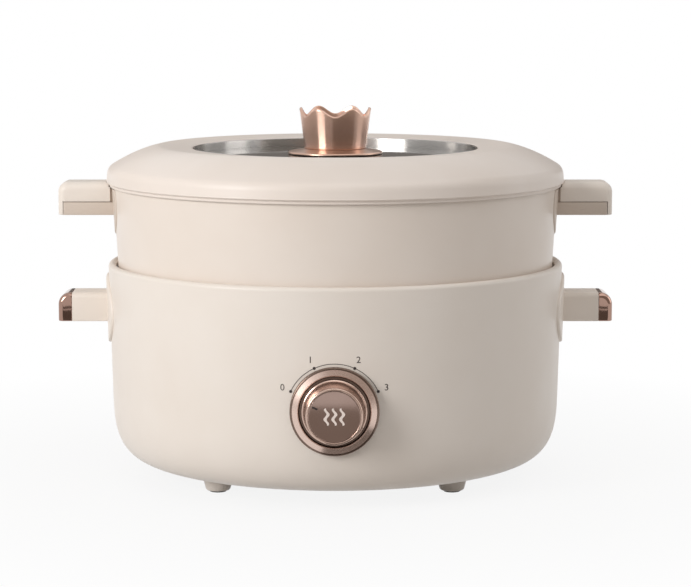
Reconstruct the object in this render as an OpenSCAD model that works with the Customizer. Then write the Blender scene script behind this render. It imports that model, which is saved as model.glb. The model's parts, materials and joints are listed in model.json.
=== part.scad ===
// Multicooker: electric base with a rotary heat dial, lift-out pot and lift-off glass lid.
// Millimetres. The floor is z = 0 and the dial faces -Y.

/* [Pot] */
// outer radius of the pot at its rim
pot_rim_r = 131.3; // [128:0.1:136]
// height of the pot from its outer floor to its rim
pot_h = 88; // [84:1:98]
// wall of the pot
pot_wall = 2.5; // [2:0.1:2.8]
// floor of the pot
pot_floor = 3; // [2.5:0.1:5]
// outer radius of the pot's bottom corner
pot_corner_r = 18; // [14:1:20]
// how far the pot's floor lies below the base's rim
pot_sink = 40.1; // [38:0.1:43]

/* [Base] */
// height of the base's rim above the floor
base_rim_z = 126.1; // [124:0.1:134]
// how much wider the base's rim is than the pot at that height
base_margin = 5.7; // [5.6:0.1:6.4]
// wall of the base's shell
shell_wall = 2.6; // [2.2:0.1:2.8]
// height of the feet
foot_h = 8.4; // [7:0.1:12]
// radius of a foot where it meets the shell
foot_r = 8.6; // [8:0.1:9]
// run of the shell's bottom corner
corner_run = 35.5; // [32:0.5:37]
// rise of the shell's bottom corner
corner_rise = 42; // [38:0.5:44]

/* [Lid] */
// height of the lid's crest above the pot's rim
lid_crest_h = 21.4; // [20.5:0.1:24]
// radius of the lid's opening
window_r = 84.3; // [80:0.1:86]
// thickness of the glass
glass_t = 4; // [3.5:0.1:4.4]
// height of the crown above its flange
crown_h = 24.3; // [20:0.1:32]
// outer radius at the crown's foot
crown_foot_r = 18.1; // [16:0.1:19]
// outer radius at the crown's tips
crown_tip_r = 21.3; // [19:0.1:24]
// radius of the flange under the crown
crown_flange_r = 27.9; // [25:0.1:32]

/* [Handles] */
// reach of a base grip beyond the base's rim
base_grip_reach = 29.6; // [27:0.1:34]
// half of the width of a base grip
base_grip_half = 12.5; // [12:0.5:16]
// height of a base grip
base_grip_h = 16.9; // [15.5:0.1:19]
// length of the metal cap on a base grip
cap_len = 8.2; // [7.5:0.1:9]
// reach of a pot grip beyond the pot's rim
pot_grip_reach = 32; // [30:0.1:36]
// half of the width of a pot grip
pot_grip_half = 12.5; // [12:0.5:16]
// height of a pot grip
pot_grip_h = 19.3; // [18:0.1:21]

/* [Dial] */
// height of the dial's axis above the floor
dial_z = 58; // [56:0.5:59]
// radius of the bezel around the dial
bezel_r = 24.6; // [24:0.1:26]
// radius of the dial at its foot
dial_r = 18.1; // [17:0.1:18.4]
// how far the dial's face stands off the bezel's seat
dial_len = 17; // [16:0.1:22]

/* [Hidden] */
$fn = 96;

// clearances
press_gap = 0.05;
seat_gap = 0.1;
screw_gap = 0.1;
loose_gap = 0.3;
run_gap = 0.06;
rim_gap = 0.75;
rim_open = 1.5;
// overshoot of a cut
over = 1;

// drafts and blends
pot_draft = 0.055;
base_draft = 0.0255;
rim_round = 2.4;
pot_edge = 0.5;
corner_n = 3.3;
corner_steps = 20;
arc_steps = 10;
dome_steps = 24;

// levels
seat_z = base_rim_z - pot_sink;
pot_rim_z = seat_z + pot_h;
wall_top_z = base_rim_z - rim_round;
ledge_z = wall_top_z - 2.5;
knee_z = foot_h + corner_rise;
base_rim_r = pot_rim_r - (pot_h - pot_sink) * pot_draft + base_margin;

// rim of the shell
rim_centre_r = base_rim_r - rim_round;
rebate_r = base_rim_r - 2.7;
ledge_r = base_rim_r - 4;
ledge_t = 3.5;
ledge_taper = 4.5;
rim_slope_w = 1.4;
rim_slope_z = wall_top_z + 0.6;

// liner bowl
liner_t = 0.7;
liner_drop = 14;
liner_z = seat_z - liner_drop;
liner_round = 20;
liner_hole_r = 18;
liner_flange_r = rebate_r - loose_gap;

// bottom cover
cover_r = 85;
bottom_open_r = cover_r - 11;
cover_t = 1.8;
cover_screw_ring = cover_r - 5;
cover_screw_r = 1.5;
cover_boss_r = 5;
cover_boss_h = 11;
cover_head_r = 3.2;
cover_head_h = 2;
vent_count = 16;
vent_ring = 34;
vent_len = 24;
vent_w = 4;

// feet
foot_gap = 1.4;
foot_ring = cover_r + foot_r + foot_gap;
foot_tip_r = 6.3;
foot_stem_r = 3;
pad_r = 4.9;
pad_h = 2.6;
pad_out = 0.9;
foot_edge = 0.8;
barb_h = 1.6;

// heating plate
plate_r = 88;
plate_t = 8;
plate_hole_r = 17.5;
element_ring = 62;
element_r = 3.8;
element_gap_deg = 28;
terminal_r = 1.9;
terminal_len = 18;
terminal_deg = element_gap_deg / 2 + 3;
terminal_gap = 2.5;
post_ring = 40;
post_r = 6;
post_screw_r = 2;
post_head_r = 4;
post_head_h = 2.6;
plate_cover_t = 3;
plate_bottom_z = seat_z - plate_t;
liner_top_z = liner_z + liner_t;

// temperature sensor
sensor_r = 15.5;
sensor_lip_r = 16.2;
sensor_skin = 1.5;
sensor_top_t = 2.5;
sensor_stop_z = seat_z - 20;
sensor_lip_h = 2;
sensor_edge = 0.8;
thermostat_r = 8.5;
thermostat_h = 6;
housing_r = 19.5;
housing_flange_r = 28;
housing_flange_t = 1.5;
housing_floor_z = seat_z - 28;
housing_screw_ring = 24;
housing_screw_r = 1.2;
housing_head_r = 2.4;
housing_head_h = 1.6;
housing_nut_h = 2;
housing_floor_t = 1.5;
housing_hole_r = 4;
spring_r = 11.5;
spring_wire_r = 0.7;
spring_turns = 7;
spring_top_z = seat_z - sensor_top_t - press_gap;

// fuse
fuse_r = 2;
fuse_len = 22;
fuse_y = 40;
clip_t = 0.8;
clip_w = 7;
clip_ear = 6;

// dial and switch
dial_seat_y = -(shell_r(dial_z) + 1.1);
dial_face_y = dial_seat_y - dial_len;
bezel_depth = 2.6;
bezel_skirt = 5;
bezel_lip = 1.3;
bezel_floor_t = 1;
bezel_round = 0.7;
bezel_floor_r = dial_r + 1.1;
boss_out_r = bezel_r - 1.8;
boss_in_r = 14;
boss_in_y = -(shell_r(dial_z) - shell_wall - 1.8);
switch_half = 15;
switch_half_h = 10.5;
switch_depth = 25;
bushing_r = 5;
bushing_len = 6.4;
nut_r = 7.5;
nut_t = 2.6;
shaft_r = 3;
shaft_flat = 1;
shaft_in = 3;
shaft_end_gap = 0.5;
hub_r = 6;
dial_tip_r = dial_r - 2.9;
dial_wall = 1.6;
dial_lift = 0.8;
dial_foot_h = 2.2;
dial_edge = 0.8;
hub_gap = 1.2;
face_drop = 0.3;
face_r = dial_tip_r - 1;
face_t = 1.2;
face_back = face_drop + face_t;
front_t = face_back + 1.9;
blade_t = 0.8;
blade_w = 6.3;
blade_len = 8;
blade_step = 6;
wire_step = 0.15;
wire_r = 1.2;
wire_lift = 22;
wire_rise = 12;
wire_side = 30;
wire_bend = 20;

// power inlet
inlet_z = 45;
inlet_seat_y = shell_r(inlet_z) + 0.3;
inlet_w = 27;
inlet_h = 19.6;
inlet_depth = 26;
inlet_flange_w = 34;
inlet_flange_h = 26;
inlet_flange_t = 1.6;
inlet_wall = 1.6;
inlet_boss_t = 5.5;
inlet_boss_edge = 1;
socket_depth = 17;
pin_len = 11;
pin_w = 2;
pin_h = 4;
pin_places = [[-7, -2], [7, -2], [0, 2]];

// base grips
base_end = base_rim_r + base_grip_reach;
base_grip_top = base_rim_z - 18.3;
base_grip_z = base_grip_top - base_grip_h;
grip_nose_round = 5.5;
grip_top_round = 3;
grip_low_round = 1.5;
grip_plan_round = 3;
base_pad_t = 1.7;
base_pad_half = 35;
base_pad_half_h = 20.5;
base_pad_z = base_grip_z + base_grip_h / 2 - 1.4;
grip_boss_y = 6.5;
grip_boss_r = 4;
grip_boss_len = 8;
grip_boss_end = base_rim_r + grip_boss_len;
grip_screw_r = 1.6;
grip_head_r = 3.6;
grip_head_h = 3;
cap_start = base_end - cap_len;
grip_seat_x = cap_start - grip_head_h - 1;
grip_root = 12;
tenon_half = 2.2;
tenon_half_h = 5;
tenon_len = 5;
grip_axis_z = base_grip_z + base_grip_h / 2;

// pot grips
pot_end = pot_rim_r + pot_grip_reach;
pot_grip_top = pot_rim_z - 0.7;
pot_grip_z = pot_grip_top - pot_grip_h;
pot_split_z = pot_grip_z + 7.9;
pot_grip_start = pot_rim_r + 1.2;
pot_grip_root = pot_rim_r - 12;
pot_grip_round = 5.5;
pot_skirt_t = 2.9;
pot_seam_x = pot_end - pot_skirt_t;
pot_pad_t = 0.8;
pot_pad_half = 31;
pot_pad_half_h = 20.5;
pot_pad_z = pot_rim_z - 11.5;
pot_pad_top = pot_rim_z - 4;
bracket_t = 1.4;
bracket_half = 9.5;
tongue_t = 2;
tongue_end = pot_grip_start + 21;
bracket_low_z = pot_split_z - 5;
bracket_high_z = pot_split_z + 5;
pot_screw_x = pot_grip_start + 14;
pot_screw_y = 5.5;
pot_screw_r = 1.6;
pot_head_r = 3.4;
pot_head_h = 2.6;
pot_boss_r = 4;
pot_screw_bite = 6;
cavity_half = 9.8;
cavity_wall = 2.4;
cavity_end = 4.6;
cavity_top = pot_split_z + 6.2;

// lid
lid_r = pot_rim_r + 3.7;
lid_split_z = pot_rim_z - 0.7;
lid_skin = 2;
lid_edge = 0.6;
crest_z = pot_rim_z + lid_crest_h;
crest_r = window_r + 13.2;
shoulder_r = lid_r - 3.8;
dome_drop = 11.6;
dome_p = 1.735;
dome_soft = 0.15;
side_h = 4.6;
side_in = 0.3;
turn_in = 0.5;
turn_drop = 1.8;
frame_lip_r = lid_r - 1.7;
frame_lip_z = pot_rim_z - 2.8;
lid_notch_r = lid_r + loose_gap + seat_gap;
lid_notch_z = frame_lip_z - 0.7;
frame_wall_r = lid_r - 2.6;
frame_in_r = pot_rim_r + 0.5;
seal_h = 2.2;
seal_in_r = pot_rim_r - 2.7;
seal_out_r = frame_in_r - 0.2;
skirt_out_r = pot_rim_r - 3.7;
skirt_t = 1.6;
skirt_z = pot_rim_z - 6;
web_t = 2;
web_z = pot_rim_z + seal_h;
glass_top_z = crest_z - 7;
glass_rise = 1.1;
glass_r = window_r + 11;
trim_t = 1.2;
trim_r = window_r - 0.2;
trim_flange_r = window_r + 10;
trim_flange_t = 0.9;
glass_seat_z = glass_top_z - glass_t;
lid_screw_ring = crest_r + (shoulder_r - crest_r) * 0.26;
lid_screw_count = 6;
lid_screw_r = 1.5;
lid_boss_r = 4;
lid_head_r = 3;
lid_head_h = 2;
lid_floor_z = web_z + web_t;
lid_step = 3;
lid_land_in = 6;
lid_land_out = 8;
seat_in_r = window_r + 1.7;
trim_lip = 0.1;

// crown knob
gasket_t = 0.6;
gasket_r = crown_flange_r - 4;
glass_mid_z = glass_top_z + glass_rise;
flange_z = glass_mid_z + gasket_t;
flange_h = 2.4;
flange_edge = 0.5;
crown_z = flange_z + flange_h;
crown_wall = 1.8;
crown_floor = 3;
crown_points = 6;
crown_valley = 4.7;
crown_flat = 0.3;
crown_boss_r = 5;
crown_boss_h = 3;
knob_screw_r = 2;
knob_head_r = 4;
knob_head_h = 2.6;
washer_r = 9;
washer_t = 1.2;
glass_hole_r = 4;

// the origin is the middle of the whole part's footprint
axis_y = (-dial_face_y - base_rim_r) / 2;

// radius of the pot's outside at height z
function pot_r(z) = pot_rim_r - (pot_rim_z - z) * pot_draft;

// radius of the shell's outside at height z, above its bottom corner
function shell_r(z) = base_rim_r - (wall_top_z - z) * base_draft;

// point of the shell's bottom corner, from 0 at the wall to 90 at the bottom
function corner_pt(a, run, rise) =
    let (drop = rise * pow(sin(a), 2 / corner_n))
    [shell_r(knee_z) - corner_run + run * pow(cos(a), 2 / corner_n) - drop * base_draft, knee_z - drop];

// points of an arc about [x, z]
function arc(x, z, r, a0, a1) =
    [for (i = [0:arc_steps]) let (a = a0 + (a1 - a0) * i / arc_steps) [x + r * cos(a), z + r * sin(a)]];

// fall of the lid's dome at the share u of its run from the crest, rounded off near the crest
function dome_fall(u) = pow(u * u + dome_soft * dome_soft, dome_p / 2) - pow(dome_soft, dome_p);

// height of the lid's dome at radius r
function dome_z(r) = crest_z - dome_drop * dome_fall((r - crest_r) / (shoulder_r - crest_r)) / dome_fall(1);

// point of a quadratic blend
function blend(a, b, c, t) = (1 - t) * (1 - t) * a + 2 * t * (1 - t) * b + t * t * c;

// outside of the lid's ring from its lower edge to the edge of the opening
function lid_outside(inset) =
    let (
        p0 = [shoulder_r - inset, dome_z(shoulder_r) - inset],
        p2 = [lid_r - side_in - inset, lid_split_z + side_h],
        p1 = [lid_r - turn_in - inset, dome_z(shoulder_r) - turn_drop - inset],
        run = shoulder_r - window_r - 2 * inset
    )
    concat(
        [[lid_r - inset, lid_split_z + lid_edge]],
        [for (i = [0:arc_steps]) blend(p2, p1, p0, i / arc_steps)],
        [for (i = [1:dome_steps]) let (r = shoulder_r - inset - run * i / dome_steps) [r, dome_z(r) - inset]]
    );

// oval in the plane of a wall pad
module oval(half_y, half_z) {
    polygon([for (i = [0:71]) [half_y * cos(i * 5), half_z * sin(i * 5)]]);
}

// solid of the shell's outside between its corner and its rim, grown by g
module shell_solid(g) {
    rotate_extrude()
        polygon([[0, knee_z], [shell_r(knee_z) + g, knee_z], [shell_r(wall_top_z) + g, wall_top_z],
                 [0, wall_top_z]]);
}

// solid of the pot's outside above its corner, grown by g
module pot_solid(g) {
    z0 = seat_z + pot_corner_r;
    rotate_extrude()
        polygon([[0, z0], [pot_r(z0) + g, z0], [pot_r(pot_rim_z) + g, pot_rim_z], [0, pot_rim_z]]);
}

// rectangle with its outer upper and lower corners rounded
module end_profile(x0, x1, z0, z1, top, low) {
    translate([x0, z0 + low]) square([x1 - x0, z1 - z0 - low - top]);
    translate([x0, z0]) square([x1 - x0 - low, low]);
    translate([x0, z1 - top]) square([x1 - x0 - top, top]);
    translate([x1 - low, z0 + low]) circle(low);
    translate([x1 - top, z1 - top]) circle(top);
}

// bar along +X with a rounded nose, rounded upper edges and rounded corners in plan
module grip(x0, x1, z0, z1, half, nose, top, low, plan) {
    intersection() {
        translate([0, 0, z0]) linear_extrude(z1 - z0) {
            translate([x0, -half]) square([x1 - x0 - plan, 2 * half]);
            translate([x0, -half + plan]) square([x1 - x0, 2 * half - 2 * plan]);
            for (s = [-1, 1]) translate([x1 - plan, s * (half - plan)]) circle(plan);
        }
        rotate([90, 0, 0]) linear_extrude(2 * half + 2 * over, center = true)
            end_profile(x0, x1, z0, z1, nose, low);
        translate([x0, 0, 0]) rotate([90, 0, 90]) linear_extrude(x1 - x0)
            for (s = [0, 1]) mirror([s, 0]) end_profile(-over, half, z0, z1, top, low);
    }
}

// cylinder from x0 to x1 along X
module rod_x(x0, x1, r, y, z) {
    translate([x0, y, z]) rotate([0, 90, 0]) cylinder(r = r, h = x1 - x0);
}

// cylinder from y0 to y1 along Y
module rod_y(y0, y1, r, z) {
    translate([0, y1, z]) rotate([90, 0, 0]) cylinder(r = r, h = y1 - y0);
}

// pan-head screw pointing up, with the underside of its head at z = 0
module screw_up(r, len, head_r, head_h) {
    cylinder(r = r, h = len);
    translate([0, 0, -head_h]) cylinder(r = head_r, h = head_h);
}

// insulated wire through a list of points
module wire(path, r) {
    for (i = [0:len(path) - 2]) {
        d = path[i + 1] - path[i];
        translate(path[i]) rotate([0, acos(d[2] / norm(d)), atan2(d[1], d[0])])
            translate([0, 0, -r / 2]) cylinder(r = r + wire_step * (i % 2), h = norm(d) + r, $fn = 24);
    }
}

// outline of the inlet, with its two lower corners cut
module inlet_outline(w, h) {
    cut = h * 0.28;
    polygon([[-w / 2, h / 2], [w / 2, h / 2], [w / 2, cut - h / 2], [w / 2 - cut, -h / 2],
             [cut - w / 2, -h / 2], [-w / 2, cut - h / 2]]);
}

// prism of the inlet's outline from y0 to y1
module inlet_prism(w, h, y0, y1) {
    translate([0, y1, inlet_z]) rotate([90, 0, 0]) linear_extrude(y1 - y0) inlet_outline(w, h);
}

module base_shell() {
    cut = acos((rebate_r - rim_centre_r) / rim_round);
    low_z = ledge_z - ledge_t - ledge_taper;
    color([0.92, 0.88, 0.84]) difference() {
        union() {
            rotate_extrude() polygon(concat(
                [[bottom_open_r, foot_h]],
                [for (i = [0:corner_steps]) corner_pt(90 - 90 * i / corner_steps, corner_run, corner_rise)],
                arc(rim_centre_r, wall_top_z, rim_round, 0, cut),
                [[rebate_r, ledge_z], [ledge_r, ledge_z], [ledge_r, ledge_z - ledge_t],
                 [shell_r(low_z) - shell_wall, low_z]],
                [for (i = [0:corner_steps])
                    corner_pt(90 * i / corner_steps, corner_run - shell_wall, corner_rise - shell_wall)],
                [[bottom_open_r, foot_h + shell_wall]]
            ));
            rod_y(dial_seat_y, boss_in_y - shell_wall, boss_out_r, dial_z);
            rod_y(dial_seat_y, boss_in_y, boss_in_r, dial_z);
            inlet_prism(inlet_flange_w + 2 * inlet_boss_edge, inlet_flange_h + 2 * inlet_boss_edge,
                        inlet_seat_y - inlet_boss_t, inlet_seat_y);
            for (a = [0:90:270]) rotate(a) translate([cover_screw_ring, 0, foot_h + shell_wall / 2])
                cylinder(r = cover_boss_r, h = cover_boss_h);
            for (m = [0, 1], s = [-1, 1]) mirror([m, 0, 0])
                rod_x(base_rim_r - shell_wall - over, grip_boss_end, grip_boss_r, s * grip_boss_y,
                      grip_axis_z);
        }
        rod_y(dial_seat_y - over, boss_in_y + over, bushing_r + screw_gap, dial_z);
        inlet_prism(inlet_w + 2 * seat_gap, inlet_h + 2 * seat_gap,
                    inlet_seat_y - inlet_boss_t - shell_wall, inlet_seat_y + over);
        for (a = [0:90:270]) rotate(a) {
            translate([cover_screw_ring, 0, foot_h - over])
                cylinder(r = cover_screw_r + screw_gap, h = cover_boss_h);
            rotate(45) translate([foot_ring, 0, foot_h - over])
                cylinder(r = foot_stem_r + screw_gap, h = shell_wall + 2 * over);
        }
        for (m = [0, 1], s = [-1, 1]) mirror([m, 0, 0])
            rod_x(base_rim_r - shell_wall / 2, grip_boss_end + over, grip_screw_r + screw_gap,
                  s * grip_boss_y, grip_axis_z);
    }
}

module base_rim() {
    out_r = rebate_r - seat_gap;
    in_r = pot_r(ledge_z) + rim_open;
    top_r = in_r + rim_slope_w;
    a0 = acos((out_r - rim_centre_r) / rim_round);
    a1 = acos((top_r - rim_centre_r) / rim_round);
    z0 = ledge_z + liner_t;
    color([0.92, 0.88, 0.84]) rotate_extrude() polygon(concat(
        [[in_r, z0], [out_r, z0]],
        arc(rim_centre_r, wall_top_z, rim_round, a0, a1),
        [[in_r, rim_slope_z]]
    ));
}

module base_liner() {
    out_gap = rim_gap + liner_t;
    turn_z = liner_z + liner_round;
    turn_r = pot_r(turn_z) + out_gap - liner_round;
    color([0.72, 0.72, 0.73]) difference() {
        rotate_extrude() polygon(concat(
            [[pot_r(ledge_z) + rim_gap, ledge_z + liner_t], [liner_flange_r, ledge_z + liner_t],
             [liner_flange_r, ledge_z], [pot_r(ledge_z) + out_gap, ledge_z]],
            arc(turn_r, turn_z, liner_round, 0, -90),
            [[liner_hole_r, liner_z], [liner_hole_r, liner_top_z]],
            arc(turn_r, turn_z, liner_round - liner_t, -90, 0)
        ));
        for (s = [-1, 1]) rotate(90 + s * terminal_deg) translate([element_ring, 0, liner_z - over])
            cylinder(r = terminal_r + terminal_gap, h = liner_t + 2 * over);
        for (a = [90:120:330]) rotate(a) translate([post_ring, 0, liner_z - over])
            cylinder(r = post_screw_r + screw_gap, h = liner_t + 2 * over);
        for (a = [30:120:270]) rotate(a) translate([housing_screw_ring, 0, liner_z - over])
            cylinder(r = housing_screw_r + screw_gap, h = liner_t + 2 * over);
    }
}

module bottom_cover() {
    color([0.55, 0.53, 0.51]) difference() {
        translate([0, 0, foot_h - cover_t]) cylinder(r = cover_r, h = cover_t);
        for (a = [0:90:270]) rotate(a) translate([cover_screw_ring, 0, 0])
            cylinder(r = cover_screw_r + screw_gap, h = foot_h + over);
        for (i = [0:vent_count - 1]) rotate((i + 0.5) * 360 / vent_count)
            translate([vent_ring, -vent_w / 2, 0]) cube([vent_len, vent_w, foot_h + over]);
    }
}

module cover_screws() {
    color([0.6, 0.6, 0.62]) for (a = [0:90:270]) rotate(a) translate([cover_screw_ring, 0, foot_h - cover_t])
        screw_up(cover_screw_r, cover_boss_h - cover_t, cover_head_r, cover_head_h);
}

module base_feet() {
    seat = pad_h + seat_gap;
    cup_r = pad_r + seat_gap;
    stem_z = foot_h + shell_wall + seat_gap;
    color([0.9, 0.86, 0.82]) for (a = [45:90:315]) rotate(a) translate([foot_ring, 0, 0])
        rotate_extrude() polygon([
            [0, seat], [cup_r, seat], [cup_r, pad_out], [foot_tip_r, pad_out],
            [foot_tip_r + foot_edge, pad_out + foot_edge], [foot_r, foot_h - foot_edge], [foot_r, foot_h],
            [foot_stem_r, foot_h], [foot_stem_r, stem_z], [foot_stem_r + foot_edge, stem_z],
            [foot_stem_r - foot_edge, stem_z + barb_h], [0, stem_z + barb_h]]);
}

module foot_pads() {
    color([0.3, 0.29, 0.28]) for (a = [45:90:315]) rotate(a) translate([foot_ring, 0, 0])
        cylinder(r = pad_r, h = pad_h);
}

// bar of a base grip, cap included
module base_bar() {
    grip(base_rim_r - grip_root, base_end, base_grip_z, base_grip_top, base_grip_half, grip_nose_round,
         grip_top_round, grip_low_round, grip_plan_round);
}

// tongue that holds the cap, grown by g
module cap_tenon(g) {
    translate([cap_start - over, -tenon_half - g, grip_axis_z - tenon_half_h - g])
        cube([tenon_len + over + 2 * g, 2 * tenon_half + 2 * g, 2 * tenon_half_h + 2 * g]);
}

module base_handle() {
    color([0.9, 0.86, 0.81]) difference() {
        union() {
            intersection() {
                translate([0, 0, base_pad_z]) rotate([90, 0, 90]) linear_extrude(base_end)
                    oval(base_pad_half, base_pad_half_h);
                shell_solid(base_pad_t);
            }
            intersection() {
                base_bar();
                translate([0, -base_grip_half, 0]) cube([cap_start, 2 * base_grip_half, base_rim_z]);
            }
            cap_tenon(0);
        }
        shell_solid(press_gap);
        for (y = [-grip_boss_y, grip_boss_y]) {
            rod_x(base_rim_r - grip_root, grip_boss_end + seat_gap, grip_boss_r + loose_gap, y, grip_axis_z);
            rod_x(base_rim_r, base_end, grip_screw_r + screw_gap, y, grip_axis_z);
            rod_x(grip_seat_x, base_end, grip_head_r + seat_gap, y, grip_axis_z);
        }
    }
}

module handle_cap() {
    color([0.8, 0.62, 0.55]) difference() {
        intersection() {
            base_bar();
            translate([cap_start + press_gap, -base_grip_half, 0])
                cube([cap_len, 2 * base_grip_half, base_rim_z]);
        }
        cap_tenon(press_gap);
    }
}

module base_handle_screws() {
    color([0.6, 0.6, 0.62]) for (m = [0, 1], y = [-grip_boss_y, grip_boss_y]) mirror([m, 0, 0]) {
        rod_x(base_rim_r - shell_wall / 4, grip_seat_x + over, grip_screw_r, y, grip_axis_z);
        rod_x(grip_seat_x, grip_seat_x + grip_head_h, grip_head_r, y, grip_axis_z);
    }
}

module heating_plate() {
    color([0.68, 0.68, 0.69]) difference() {
        translate([0, 0, plate_bottom_z]) cylinder(r = plate_r, h = plate_t);
        translate([0, 0, plate_bottom_z - over]) cylinder(r = plate_hole_r, h = plate_t + 2 * over);
        translate([0, 0, plate_bottom_z])
            rotate_extrude() translate([element_ring, 0]) circle(element_r + seat_gap);
        for (a = [90:120:330]) rotate(a) translate([post_ring, 0, plate_bottom_z - over])
            cylinder(r = post_screw_r + screw_gap, h = plate_t - plate_cover_t + 2 * over);
    }
}

module heating_element() {
    color([0.35, 0.34, 0.34]) union() {
        translate([0, 0, plate_bottom_z]) rotate(90 + element_gap_deg / 2)
            rotate_extrude(angle = 360 - element_gap_deg) translate([element_ring, 0]) circle(element_r);
        for (s = [-1, 1]) rotate(90 + s * terminal_deg)
            translate([element_ring, 0, plate_bottom_z - terminal_len])
                cylinder(r = terminal_r, h = terminal_len);
    }
}

module plate_posts() {
    post_h = plate_bottom_z - liner_top_z;
    color([0.85, 0.84, 0.8]) for (a = [90:120:330]) rotate(a) translate([post_ring, 0, liner_top_z])
        difference() {
            cylinder(r = post_r, h = post_h);
            translate([0, 0, -over]) cylinder(r = post_screw_r + screw_gap, h = post_h + 2 * over);
        }
}

module plate_screws() {
    color([0.6, 0.6, 0.62]) for (a = [90:120:330]) rotate(a) translate([post_ring, 0, liner_z])
        screw_up(post_screw_r, seat_z - plate_cover_t - liner_z, post_head_r, post_head_h);
}

module sensor_housing() {
    guide_r = sensor_r + loose_gap + press_gap;
    bore_r = sensor_lip_r + loose_gap;
    flange_low_z = liner_z - housing_flange_t;
    color([0.3, 0.29, 0.28]) difference() {
        union() {
            translate([0, 0, flange_low_z]) cylinder(r = housing_flange_r, h = housing_flange_t);
            translate([0, 0, housing_floor_z - housing_floor_t])
                cylinder(r = housing_r, h = liner_z - housing_floor_z + housing_floor_t - press_gap);
        }
        translate([0, 0, housing_floor_z]) cylinder(r = bore_r, h = sensor_stop_z - housing_floor_z);
        translate([0, 0, housing_floor_z]) cylinder(r = guide_r, h = seat_z - housing_floor_z);
        translate([0, 0, housing_floor_z - housing_floor_t - over])
            cylinder(r = housing_hole_r, h = housing_floor_t + 2 * over);
        for (a = [30:120:270]) rotate(a) translate([housing_screw_ring, 0, flange_low_z - over])
            cylinder(r = housing_screw_r + screw_gap, h = housing_flange_t + 2 * over);
    }
}

module housing_screws() {
    color([0.6, 0.6, 0.62]) for (a = [30:120:270]) rotate(a) translate([housing_screw_ring, 0, 0]) {
        translate([0, 0, liner_z - housing_flange_t])
            screw_up(housing_screw_r, housing_flange_t + liner_t + housing_nut_h, housing_head_r,
                     housing_head_h);
        translate([0, 0, liner_top_z]) cylinder(r = housing_head_r, h = housing_nut_h, $fn = 24);
    }
}

module sensor_spring() {
    spring_h = spring_top_z - housing_floor_z - press_gap;
    color([0.55, 0.55, 0.56]) translate([0, 0, housing_floor_z + press_gap])
        linear_extrude(spring_h, twist = -360 * spring_turns, slices = 20 * spring_turns, $fn = 13)
            translate([spring_r, 0]) circle(spring_wire_r);
}

module thermal_fuse() {
    color([0.85, 0.84, 0.8]) rod_x(-fuse_len / 2, fuse_len / 2, fuse_r, -fuse_y, liner_z - fuse_r - seat_gap);
}

module fuse_clip() {
    mid_z = liner_z - fuse_r - seat_gap;
    in_r = fuse_r + press_gap;
    out_r = in_r + clip_t;
    color([0.6, 0.6, 0.62]) translate([-clip_w / 2, -fuse_y, 0]) rotate([90, 0, 90]) linear_extrude(clip_w)
        difference() {
            union() {
                translate([0, mid_z]) circle(out_r);
                translate([-out_r, mid_z]) square([2 * out_r, liner_z - mid_z]);
                translate([-in_r - clip_ear, liner_z - clip_t]) square([2 * in_r + 2 * clip_ear, clip_t]);
            }
            translate([0, mid_z]) circle(in_r);
            translate([-in_r, mid_z]) square([2 * in_r, liner_z]);
        }
}

module switch_body() {
    color([0.2, 0.2, 0.2]) difference() {
        union() {
            translate([-switch_half, boss_in_y, dial_z - switch_half_h])
                cube([2 * switch_half, switch_depth, 2 * switch_half_h]);
            rod_y(dial_seat_y - bushing_len, boss_in_y + over, bushing_r, dial_z);
        }
        rod_y(dial_seat_y - bushing_len - over, boss_in_y + shaft_in + shaft_end_gap, shaft_r + run_gap,
              dial_z);
    }
}

module switch_nut() {
    y0 = dial_seat_y - bezel_floor_t - nut_t;
    color([0.7, 0.66, 0.55]) difference() {
        translate([0, y0 + nut_t, dial_z]) rotate([90, 0, 0]) linear_extrude(nut_t)
            polygon([for (i = [0:5]) [nut_r * cos(i * 60), nut_r * sin(i * 60)]]);
        rod_y(y0 - over, y0 + nut_t + over, bushing_r + press_gap, dial_z);
    }
}

module switch_terminals() {
    y0 = boss_in_y + switch_depth;
    color([0.78, 0.7, 0.45]) for (i = [-1.5:1.5])
        translate([i * blade_step - blade_t / 2, y0, dial_z - blade_w / 2])
            cube([blade_t, blade_len, blade_w]);
}

module dial_bezel() {
    bore_r = bushing_r + screw_gap;
    skirt_r = boss_out_r + seat_gap;
    lip_r = bezel_lip / 2;
    color([0.8, 0.7, 0.65]) difference() {
        translate([0, dial_seat_y, dial_z]) rotate([90, 0, 0]) rotate_extrude() polygon(concat(
            [[bore_r, 0], [skirt_r, 0], [skirt_r, -bezel_skirt], [bezel_r, -bezel_skirt]],
            arc(bezel_r - lip_r, bezel_depth - lip_r, lip_r, 0, 180),
            [[bezel_floor_r + bezel_round, bezel_floor_t + bezel_round], [bezel_floor_r, bezel_floor_t],
             [bore_r, bezel_floor_t]]
        ));
        shell_solid(press_gap);
        translate([0, 0, knee_z - bezel_r])
            cylinder(r = shell_r(knee_z) + press_gap, h = bezel_r + press_gap);
    }
}

module power_inlet() {
    back_y = inlet_seat_y - inlet_depth;
    front_y = inlet_seat_y + inlet_flange_t;
    slot_w = pin_w + 2 * press_gap;
    slot_h = pin_h + 2 * press_gap;
    color([0.16, 0.16, 0.16]) difference() {
        union() {
            inlet_prism(inlet_w, inlet_h, back_y, inlet_seat_y + inlet_flange_t / 2);
            inlet_prism(inlet_flange_w, inlet_flange_h, inlet_seat_y, front_y);
        }
        inlet_prism(inlet_w - 2 * inlet_wall, inlet_h - 2 * inlet_wall, front_y - socket_depth,
                    front_y + over);
        for (p = pin_places) translate([p[0] - slot_w / 2, back_y - over, inlet_z + p[1] - slot_h / 2])
            cube([slot_w, inlet_depth, slot_h]);
    }
}

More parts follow.
